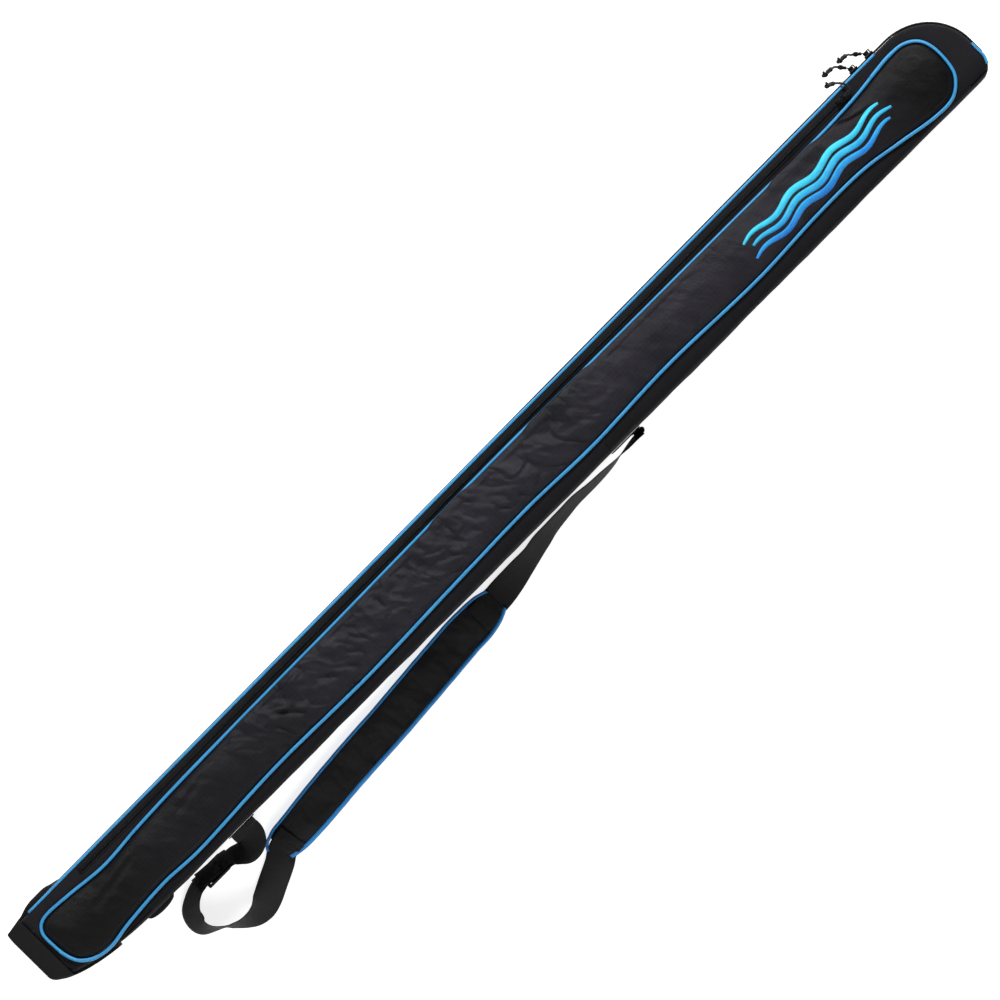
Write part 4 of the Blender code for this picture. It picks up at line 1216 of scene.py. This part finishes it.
def pull(prefix, body, pivot, start, route, tab_axis, tab_length):
    """One pull: the cord, the loop through the tab's eye and the knot at its end."""
    points = through(route, 26)
    piece = tube(prefix + "_line", points, CORD_R, "cord", 12)
    along = points[-1] - points[-2]
    place = points[-1] + along.normalized() * (0.0032 + GAP)
    knot_body, tail = knot(prefix + "_end", place, along)
    eye = pivot + tab_axis * (tab_length - 0.0035)
    top = UP if abs(tab_axis.z) < 0.5 else Vector((0, 1, 0))
    flat = tab_axis.cross(top).normalized()
    ring = [start, start.lerp(eye, 0.5) + flat * 0.0017, eye + flat * 0.0012, eye,
            eye - flat * 0.0012, start.lerp(eye, 0.5) - flat * 0.0017, start]
    loop = tube(prefix + "_loop", through(ring, 28), 0.00150, "cord", 8)
    wound = [pivot + tab_axis * (0.0062 + 0.0004 * k)
             for k in range(int((tab_length - 0.0088) / 0.0004))]
    sleeve_body = tube(prefix + "_sleeve", wound, 0.0021, "cord", 12,
                       swell=lambda t: 1.0 + 0.10 * math.sin(t * 60.0))
    fit(sleeve_body, body, "cord")
    turns = [pivot + Vector((math.cos(a), math.sin(a), 0)) * 0.0019
             + Vector((0, 0, 0.0011 * math.sin(a / 2)))
             for a in (4 * math.pi * k / 40 for k in range(40))]
    wrap = tube(prefix + "_wrap", turns, 0.0012, "cord", 8, cyclic=True)
    fit(wrap, body, "cord")
    grip = tube(prefix + "_grip", points[-11:-1], 0.0029, "cord", 12,
                swell=lambda t: 0.55 + 0.45 * smooth_step(0.0, 0.35, t) * smooth_step(1.0, 0.80, t)
                + 0.06 * math.sin(t * 44.0))
    for part in (piece, knot_body, tail, loop, grip):
        fit(part, body, "cord")
    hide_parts(prefix + "_cord")
    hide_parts(prefix + "_knot")


def main_pull(prefix, body, x, yaw, hang):
    out_b = left_wall(x) + 0.0057
    pivot = Vector((x - 0.0005, out_b + 0.0018, ZIP_Z))
    heading = Vector((math.cos(math.radians(yaw)), math.sin(math.radians(yaw)), 0))
    start = pivot + heading * (0.0150 + CORD_R + GAP)
    route = [start + Vector((0, 0, 0.0014)), start + heading * 0.003 + Vector((0, 0, -0.0050))]
    route += [start + Vector(step) for step in hang]
    pull(prefix, body, pivot, start, route, heading, 0.0150)


main_pull("main_slider_upper", "zip_pull_upper", 0.7300, 140.0,
          [(-0.0030, 0.0045, -0.021), (-0.0060, 0.0060, -0.041), (-0.0120, 0.0070, -0.055)])
main_pull("main_slider_lower", "zip_pull_lower", 0.7030, 128.0,
          [(-0.0020, 0.0035, -0.020), (-0.0060, 0.0048, -0.040), (-0.0130, 0.0055, -0.054)])
px = 0.6640
py = POCKET_Y + 0.0012 * px
face_z = DEPTH + 0.0030 + 0.0019
pocket_pivot = Vector((px + 0.0004, py, face_z + 0.0017))
start = pocket_pivot + Vector((0.0140 + CORD_R + GAP, 0.0, 0.0020))
route = [start + Vector((0, -0.001, 0)), start + Vector((0.0032, 0.0045, 0.0006))]
route += [start + Vector((0.0004, 0.0130, -0.0024)), start + Vector((-0.0050, 0.0200, -0.0160))]
route += [start + Vector((-0.0110, 0.0245, -0.0360))]
tilt = math.radians(6)
pull("pocket_slider", "pocket_pull", pocket_pivot, start, route,
     Vector((math.cos(tilt), 0, math.sin(tilt))), 0.0140)

# ---------------------------------------------------------------- parts kept from the CAD
for name, look, width in (("main_slider_upper", "enamel", 0.0004),
("main_slider_lower", "enamel", 0.0004),
                          ("pocket_slider", "enamel", 0.0003),
                          ("main_slider_upper_tab", "enamel", 0.0003),
                          ("main_slider_lower_tab", "enamel", 0.0003),
                          ("pocket_slider_tab", "enamel", 0.0003),
                          ("main_zip_stop", "enamel", 0.0004), ("strap_adjuster", "buckle", 0.0005),
                          ("base_stiffener", "lining", 0.0004),
                          ("back_stiffener", "lining", 0.0004),
                          ("front_stiffener", "lining", 0.0004)):
    node = NODES[name]
    dress(node, look)
    edge = node.modifiers.new("edge", "BEVEL")
    edge.width = width
    edge.segments = 3
    edge.limit_method = "ANGLE"
    edge.harden_normals = False

# ---------------------------------------------------------------- shoulder strap
UPPER = [
    (0.1970, -0.0672, 0.0385, 12), (0.1850, -0.0670, 0.0382, 10), (0.1700, -0.0680, 0.0378, 6),
    (0.1570, -0.0687, 0.0370, 0), (0.1430, -0.0698, 0.0362, -7), (0.1230, -0.0700, 0.0352, -13),
    (0.1030, -0.0697, 0.0342, -16), (0.0770, -0.0682, 0.0320, -21), (0.0560, -0.0694, 0.0295, -24),
    (0.0300, -0.0712, 0.0262, -29), (0.0100, -0.0738, 0.0235, -38), (-0.0100, -0.0775, 0.0195, -41),
    (-0.0330, -0.0803, 0.0145, -54), (-0.0550, -0.0832, 0.0100, -70),
    (-0.0800, -0.0856, 0.0068, -90),
]
LOWER = [
    (-0.4990, -0.1178, 0.0064, -90), (-0.5110, -0.1255, 0.0050, -90),
    (-0.5330, -0.1360, 0.0036, -90),
    (-0.5540, -0.1460, 0.0062, -78), (-0.5690, -0.1503, 0.0122, -57),
    (-0.5830, -0.1497, 0.0168, -38),
    (-0.5970, -0.1450, 0.0195, -21), (-0.6075, -0.1388, 0.0203, -12),
    (-0.6155, -0.1325, 0.0206, -6),
    (-0.6280, -0.1235, 0.0203, -15), (-0.6360, -0.1130, 0.0194, -33),
    (-0.6365, -0.1020, 0.0190, -43),
    (-0.6320, -0.0900, 0.0200, -42), (-0.6210, -0.0805, 0.0222, -34),
    (-0.6080, -0.0740, 0.0248, -30),
    (-0.5965, -0.0716, 0.0260, -30),
]
ANCHOR = [
    (-0.5095, -0.0586, 0.0510, 90), (-0.5098, -0.0650, 0.0468, 90),
    (-0.5100, -0.0730, 0.0395, 90), (-0.5150, -0.0805, 0.0340, 84),
    (-0.5260, -0.0840, 0.0300, 66), (-0.5360, -0.0805, 0.0275, 46), (-0.5440, -0.0768, 0.0258, 36),
    (-0.5530, -0.0752, 0.0250, 31),
]
UPPER_LAP = [(-0.0900, -0.0853, 0.0096, -90), (-0.1010, -0.0866, 0.0128, -90),
             (-0.1170, -0.0878, 0.0134, -90)]
LOWER_LAP = [(-0.4740, -0.1124, 0.0136, -90), (-0.4800, -0.1132, 0.0132, -90),
             (-0.4870, -0.1142, 0.0120, -90)]
for name, node, run, count in (("upper_web", "strap_upper_webbing", UPPER + UPPER_LAP, 180),
                               ("lower_web", "strap_lower_webbing", LOWER_LAP + LOWER, 210),
                               ("anchor_web", "strap_anchor_webbing", ANCHOR, 80)):
    piece = ribbon(name, through(run, count), WEB_HALF, WEB_T, "webbing")
    fit(piece, "strap", "webbing", node)

BUCKLE_AT = Vector((-0.5745, -0.0735, 0.0245))
LEAN = math.radians(30)
ACROSS = Vector((0, -math.sin(LEAN), math.cos(LEAN)))
FACING = Vector((1, 0, 0)).cross(ACROSS)


def threaded(name, path, count, half_width):
    """Webbing laced through the adjuster: its path is given in the buckle's X and facing."""
    rows = []
    run = through([Vector((x, f, 0)) for x, f in path], count)
    e = 0.0006
    for i, place in enumerate(run):
        along = heading(run, i)
        side = Vector((-along.y, along.x, 0))
        row = []
        for u, v in ((1, -0.2), (0.97, 0.8), (0.5, 1), (-0.5, 1), (-0.97, 0.8), (-1, 0.2),
                     (-0.97, -0.8), (-0.5, -1), (0.5, -1), (0.97, -0.8)):
            spot = place + side * (v * e)
            lift = ACROSS * (u * half_width)
            row.append(BUCKLE_AT + Vector((1, 0, 0)) * spot.x + FACING * spot.y + lift)
        rows.append(row)
    piece = skin(name, rows, "webbing", ends=True)
    fit(piece, "strap", "webbing")


threaded("laced_web", [(-0.0300, -0.0030), (-0.0235, -0.0024), (-0.0165, -0.0026),
                       (-0.0105, -0.0010), (-0.0060, 0.0016), (0.0000, 0.0026),
                       (0.0072, 0.0014), (0.0070, -0.0022), (0.0000, -0.0032),
                       (-0.0080, -0.0040), (-0.0165, -0.0048), (-0.0225, -0.0058)], 90, 0.0190)
threaded("anchor_fold", [(0.0270, -0.0004), (0.0225, -0.0018), (0.0165, -0.0026), (0.0105, -0.0018),
                         (0.0086, 0.0002), (0.0105, 0.0018), (0.0165, 0.0026), (0.0225, 0.0026),
                         (0.0270, 0.0016)], 60, 0.0188)

PAD_LINE = [
    (-0.0830, -0.0856, 0.0178), (-0.0900, -0.0860, 0.0208), (-0.1020, -0.0868, 0.0245),
    (-0.1200, -0.0880, 0.0268), (-0.1500, -0.0888, 0.0275), (-0.2070, -0.0930, 0.0278),
    (-0.2880, -0.0990, 0.0276), (-0.3610, -0.1030, 0.0272), (-0.4300, -0.1085, 0.0268),
    (-0.4650, -0.1113, 0.0253), (-0.4850, -0.1114, 0.0236), (-0.4960, -0.1120, 0.0208),
]
PAD_Z = 0.0064
PAD_HALF = 0.0056
BIND_IN = 0.0046
BIND_OUT = 0.0058


def pad_frames(count):
    frames = []
    line = through(PAD_LINE, count)
    for i, station in enumerate(line):
        before = line[max(i - 1, 0)]
        after = line[min(i + 1, len(line) - 1)]
        along = Vector((after.x - before.x, after.y - before.y, 0)).normalized()
        inward = Vector((along.y, -along.x, 0))
        frames.append((Vector((station.x, station.y, PAD_Z)), inward, station.z))
    return frames


def make_pad():
    rows = []
    for centre, inward, half in pad_frames(70):
        a = half - BIND_IN + 0.0026
        b = -(half - BIND_OUT) - 0.0026
        mid = (a + b) / 2
        reach = (a - b) / 2
        row = []
        for u, v in oval(28, 0.30, 0.75):
            rise = Vector((0, 0, (PAD_HALF - 0.0014) * v))
            row.append(centre + inward * (mid + reach * u) + rise)
        rows.append(row)
    return skin("pad_body", rows, "mesh", ends=True)


def simulate_pad(pad):
    """Blow the pad up as sewn fabric round foam, then hold it to a few millimetres."""
    lump = pad.modifiers.new("lump", "REMESH")
    lump.mode = "VOXEL"
    lump.voxel_size = 0.0034
    apply_all(pad)
    rest = [v.co.copy() for v in pad.data.vertices]
    frames = pad_frames(120)
    held = pad.vertex_groups.new(name="sewn")
    for vertex in pad.data.vertices:
        centre, inward, half = min(frames, key=lambda f: (f[0] - vertex.co).xy.length)
        across = abs((vertex.co - centre).dot(inward))
        held.add([vertex.index], smooth_step(half - 0.0095, half - 0.0065, across), "REPLACE")
    sim = pad.modifiers.new("cloth", "CLOTH")
    sim.settings.use_pressure = True
    sim.settings.uniform_pressure_force = 3.0
    sim.settings.shrink_min = -0.06
    sim.settings.effector_weights.gravity = 0.0
    sim.settings.vertex_group_mass = "sewn"
    sim.settings.quality = 5
    for step in range(1, 21):
        SCENE.frame_set(step)
    apply_all(pad)
    SCENE.frame_set(1)
    for vertex, start_place in zip(pad.data.vertices, rest):
        moved = vertex.co - start_place
        moved.x *= 0.5
        moved.y *= 0.5
        if moved.length > PAD_SWELL:
            moved = moved.normalized() * PAD_SWELL
        vertex.co = start_place + moved


PAD_SEAMS = ((-0.116, 0.004, 0.0022), (-0.322, 0.013, 0.0020), (-0.476, -0.004, 0.0020),
             (-0.300, 0.012, 0.0010), (-0.345, 0.010, 0.0008), (-0.222, 0.010, 0.0007),
             (-0.255, 0.012, 0.0007), (-0.396, 0.010, 0.0008), (-0.430, 0.008, 0.0006))


def sew_pad(pad):
    refine(pad)
    frames = pad_frames(120)
    for vertex in pad.data.vertices:
        place = vertex.co
        dip = 0.0
        for x, slant, deep in PAD_SEAMS:
            line = x + slant * (place.y + 0.09) / 0.03
            dip += deep * math.exp(-((place.x - line) / 0.0030) ** 2)
        soft = 0.0016 * ripple(place, 22, 26, 1, 6.4) + 0.0009 * ripple(place, 60, 30, 1, 2.4)
        if place.z > PAD_Z:
            place.z += soft - dip
        else:
            place.z += dip * 0.6
        centre, inward, half = min(frames, key=lambda f: (f[0] - place).xy.length)
        across = (place - centre).dot(inward)
        width = BIND_IN if across > 0 else BIND_OUT
        room = 0.0048 + 0.0040 * smooth_step(0.0, 0.0060, half - width - 0.0004 - abs(across))
        place.z = min(max(place.z, 0.0004, PAD_Z - room), PAD_Z + room)
    for polygon in pad.data.polygons:
        polygon.use_smooth = True
    dress(pad, "mesh")


pad = make_pad()
simulate_pad(pad)
sew_pad(pad)
fit(pad, "strap", "webbing", "shoulder_pad")


def binding(name, node, side, width):
    """Ribbed tape folded over the pad's edge."""
    rows = []
    for centre, inward, half in pad_frames(170):
        wave = 0.00025 * noise.noise(Vector((centre.x * 70, side * 3.0, 0.5)))
        middle = centre + inward * side * (half - width / 2 + wave)
        row = []
        for u, v in oval(16, 0.75, 0.75):
            row.append(middle + inward * (side * u * width / 2) + Vector((0, 0, 0.0057 * v)))
        rows.append(row)
    if side > 0:
        last = rows[-1]
        centre = sum(last, Vector()) / len(last)
        for k, (dx, dy) in enumerate(((-0.0040, -0.0012), (-0.0080, -0.0036), (-0.0112, -0.0070),
                                      (-0.0135, -0.0108))):
            turn = Matrix.Rotation(math.radians(12 * (k + 1)), 3, "Z")
            shift = Vector((dx, dy, -0.0003 * k))
            rows.append([centre + shift + turn @ (p - centre) * (1 - 0.05 * k) for p in last])
    piece = skin(name, rows, "binding", ends=True)
    fit(piece, "strap", "binding", node)


binding("bind_inner", "pad_binding_inner", 1, BIND_IN)
binding("bind_outer", "pad_binding_outer", -1, BIND_OUT)


# ---------------------------------------------------------------- anchors and base tab
def flank_patch(name, node, x0, x1, z0, z1):
    """Webbing patch sewn flat on the strap side, with a boxed cross of stitches."""
    y = right_wall((x0 + x1) / 2) - GAP - 0.0009
    rows = []
    for k in range(25):
        x = x0 + (x1 - x0) * k / 24
        rows.append((x, y, (z0 + z1) / 2, 0.0))
    # Dressed in the darker webbing: painted shade on the patch, whose top edge the key light would
    # catch
    piece = ribbon(name, rows, (z1 - z0) / 2, 0.0007, "patch")
    fit(piece, "case_back", "webbing", node)
    box = crossed_box(x0 + 0.004, x1 - 0.004, z0 + 0.004, z1 - 0.004, 12)
    points = [Vector((x, y - 0.0008, z)) for x, z in box]
    sewn = stitches(name + "_stitch", points, [Vector((0, -1, 0))] * len(points), *BOX_STITCH)
    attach(sewn, "case_back")


flank_patch("upper_patch", "upper_strap_anchor", 0.150, 0.199, 0.020, 0.0590)
flank_patch("lower_patch", "lower_strap_anchor", -0.531, -0.489, 0.020, 0.0580)


def right_reach(x):
    """How far out from the middle the patch runs before the flank turns down."""
    return -right_wall(x) - 0.0012


def front_patch():
    """The dark patch beside the upper anchor, sewn over the fold of the strap side."""
    back_tree = tree_of(back_skin)
    front_tree = tree_of(front_skin)
    rows = []
    for k in range(37):
        x = 0.1525 + 0.0440 * k / 36
        row = []
        for m in range(21):
            y = -0.0432 - (right_reach(x) - 0.0432) * m / 20
            source = front_tree if y > hinge_y(x) else back_tree
            hit = drop(source, x, y)
            fold = abs(y - hinge_y(x)) < 0.0007
            z = hit[0].z if hit[0] is not None and not fold else DEPTH - 0.0018
            row.append(Vector((x, y, z + 0.0009)))
        rows.append(row)
    for row in rows:
        for _ in range(2):  # lift the dips
            level = [spot.z for spot in row]
            for m in range(1, 20):
                row[m].z = max(level[m], (level[m - 1] + level[m] + level[m + 1]) / 3)
    piece = skin("front_patch", rows, "patch", wrap=False, close=False)
    face_up(piece)
    thicken(piece, "cloth", 0.0010)
    apply_all(piece)
    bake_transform(piece)


front_patch()


def lap_box(name, run, half_width):
    """A sewn box with a cross over the end of a webbing lap."""
    first, last = Vector(run[0][:3]), Vector(run[-1][:3])
    along = (last - first).normalized()
    side = Vector((-along.y, along.x, 0)).normalized()
    skin_tree = tree_of(bpy.data.objects[name])
    w = half_width - 0.003
    reach = (last - first).length
    points, normals = [], []
    for t, v in crossed_box(0.15, 0.92, -w, w, 10):
        spot = first + along * (reach * t) + side * v
        hit = drop(skin_tree, spot.x, spot.y)
        if hit[0] is not None:
            points.append(hit[0] + hit[1] * 0.00008)
            normals.append(hit[1])
    row = stitches(name + "_stitch", points, normals, *BOX_STITCH)
    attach(row, "strap")


lap_box("upper_web", UPPER_LAP, WEB_HALF)
lap_box("lower_web", LOWER_LAP[::-1], WEB_HALF)


def anchor_box(name, x0, x1, half):
    """A sewn box with a cross through the webbing's end on the flank."""
    tree = tree_of(bpy.data.objects[name])
    points, normals = [], []
    for x, z in crossed_box(x0, x1, -half, half, 12):
        hit = tree.ray_cast(Vector((x, -0.2, 0.0383 + z)), Vector((0, 1, 0)))
        if hit[0] is not None:
            points.append(hit[0] + Vector((0, -0.00008, 0)))
            normals.append(Vector((0, -1, 0)))
    row = stitches(name + "_sewn", points, normals, *BOX_STITCH)
    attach(row, "strap")


anchor_box("upper_web", 0.169, 0.1935, 0.0155)


def anchor_turn():
    """The upper webbing folds back on itself here and is sewn under the anchor patch."""
    inner = right_wall(0.19) - GAP - 0.0023
    route = [(0.1860, -0.0657, 0.0383, -11), (0.1940, -0.0659, 0.0385, -12),
             (0.1974, -0.0656, 0.0387, -11), (0.1990, -0.0645, 0.0389, -8),
             (0.1990, -0.0630, 0.0390, -4), (0.1974, inner - 0.0001, 0.0390, 0),
             (0.1940, inner, 0.0390, 0), (0.1840, inner, 0.0390, 0)]
    # Dressed in the darker webbing: painted shade over the turn, whose edges the key light would
    # catch
    piece = ribbon("anchor_turn", through(route, 44), WEB_HALF - 0.0012, WEB_T * 0.8, "patch")
    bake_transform(piece)


anchor_turn()


def side_tab():
    """A folded webbing tab sewn into the strap-side seam."""
    rows = []
    for k in range(49):
        t = k / 48
        x = -0.673 + 0.043 * t
        bulge = 0.0056 * math.sin(math.pi * min(max((t - 0.02) / 0.96, 0.0), 1.0)) ** 0.45
        wall = right_wall(x) + 0.0008
        row = []
        half = (bulge + 0.0018) / 2
        for across, up in oval(20, 0.35, 0.25):
            row.append(Vector((x, wall - half + half * across, 0.0450 + 0.0100 * up)))
        rows.append(row)
    piece = skin("side_tab", rows, "webbing", ends=True)
    fit(piece, "case_back", "webbing", "base_side_tab")


side_tab()

# ---------------------------------------------------------------- hinge cover and tape
fold = []
for k in range(120):
    x = -0.64 + 1.40 * k / 119
    fold.append((x, hinge_y(x) + 0.0058, 0.0836, 64.0))
hinge_inner = ribbon("hinge_inner", fold, 0.0026, 0.0003, "tape")
fit(hinge_inner, "case_front", "binding", "hinge_tape")


def hinge_cover():
    """The fabric that runs over the fold from the strap side to the front."""
    tree = tree_of(back_skin)
    front_tree = tree_of(front_skin)
    rows = []
    for k in range(201):
        x = -0.662 + (0.792 + 0.662) * k / 200
        row = []
        for offset in (-0.0036, -0.0028, -0.0020, -0.0008, 0.0008, 0.0020, 0.0036, 0.0050):
            y = hinge_y(x) + offset
            source = tree if offset < 0 else front_tree
            hit = drop(source, x, y)
            z = DEPTH - 0.0022
            if hit[0] is not None and hit[0].z > DEPTH - 0.0090:
                z = hit[0].z
            edge = 1 - smooth_step(0.0024, 0.0046, abs(offset - 0.0004))
            row.append(Vector((x, y, z + 0.00010 + 0.00030 * edge)))
        rows.append(row)
    piece = skin("hinge_cover", rows, "shell", wrap=False, close=False)
    face_up(piece)
    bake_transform(piece)


hinge_cover()


# ---------------------------------------------------------------- seams and stitch lines
def panel_stitches():
    tree = tree_of(pocket_panel)
    points, normals = [], []
    for i in range(0, LOOP, 2):
        inward = inward_of(panel_loop, i)
        spot = panel_loop[i] + inward * (EDGE + 0.0052)
        hit = drop(tree, spot.x, spot.y)
        if hit[0] is not None:
            points.append(hit[0] + hit[1] * 0.00005)
            normals.append(hit[1])
    piece = stitches("panel_stitching", points + points[:1], normals + normals[:1])
    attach(piece, "case_front")
    outer = []
    for i in range(0, LOOP, 2):
        spot = panel_loop[i] - inward_of(panel_loop, i) * (PIPE_R + 0.0024)
        outer.append(Vector((spot.x, spot.y, DEPTH + 0.0001)))
    part = outer[2:448]
    row = stitches("border_stitching", part, [UP] * len(part))
    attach(row, "case_front")


panel_stitches()


def seam_row(name, offset, height, body):
    route = [Vector(s[:3]) for s in zip_route(offset, height)]
    normals = []
    for i in range(len(route)):
        along = route[min(i + 1, len(route) - 1)] - route[max(i - 1, 0)]
        normals.append(Vector((-along.y, along.x, 0)).normalized())
    row = stitches(name, route, normals, 0.0034, 0.0025, 0.00026)
    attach(row, body)


seam_row("zip_stitching", TAPE_OUT + 0.0004, ZIP_Z - 0.0098, "case_back")


def back_stitches():
    for name, extra in (("back_stitching_inner", 0.0042), ("back_stitching_outer", -0.0012)):
        points = []
        for place, normal, fold in body_outline():
            spot = place - normal * (0.005 + 0.009 * fold + extra)
            if spot.x > -0.716:
                points.append(Vector((spot.x, spot.y, 0.0002)))
        normals = [-UP] * len(points)
        row = stitches(name, points, normals, 0.0040, 0.0030, 0.00030)
        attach(row, "case_back")


# ---------------------------------------------------------------- embroidered waves
def embroidery():
    tree = tree_of(pocket_panel)
    for n, (y0, first, last) in enumerate(((0.0090, 0.450, 0.694), (-0.0030, 0.458, 0.703),
                                           (-0.0150, 0.450, 0.692))):
        rows = []
        count = 260
        for k in range(count + 1):
            t = k / count
            x = first + (last - first) * t
            phase = 2 * math.pi * (x - 0.45) / 0.071
            y = y0 + 0.0034 * math.sin(phase) + 0.002 * (x - 0.575) / 0.125
            slope = 0.0034 * math.cos(phase) * 2 * math.pi / 0.071 + 0.016
            normal = Vector((-slope, 1.0)).normalized()
            half = 0.0044 * math.sin(math.pi * (0.02 + 0.96 * t)) ** 0.40 + 0.0002
            row = []
            for s in (-1.0, -0.92, -0.65, -0.33, 0.0, 0.33, 0.65, 0.92, 1.0):
                spot = Vector((x, y)) + normal * (half * s)
                hit = drop(tree, spot.x, spot.y)
                lift = 0.0013 * (1 - abs(s) ** 3.0) - (0.0003 if abs(s) > 0.95 else 0.0)
                row.append(Vector((spot.x, spot.y, hit[0].z + lift)))
            rows.append(row)
        piece = skin("wave_" + "abc"[n], rows, "embroidery", wrap=False, close=False)
        face_up(piece)
        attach(piece, "case_front")


embroidery()
back_stitches()


# ---------------------------------------------------------------- floor
bpy.ops.mesh.primitive_plane_add(size=14.0, location=(0, 0, -0.0012))
floor = bpy.context.active_object
floor.name = "floor"
floor.data.materials.append(floor_material())

for node in NODES.values():
    if node.hide_render is False and not node.data.materials:
        dress(node, "enamel")
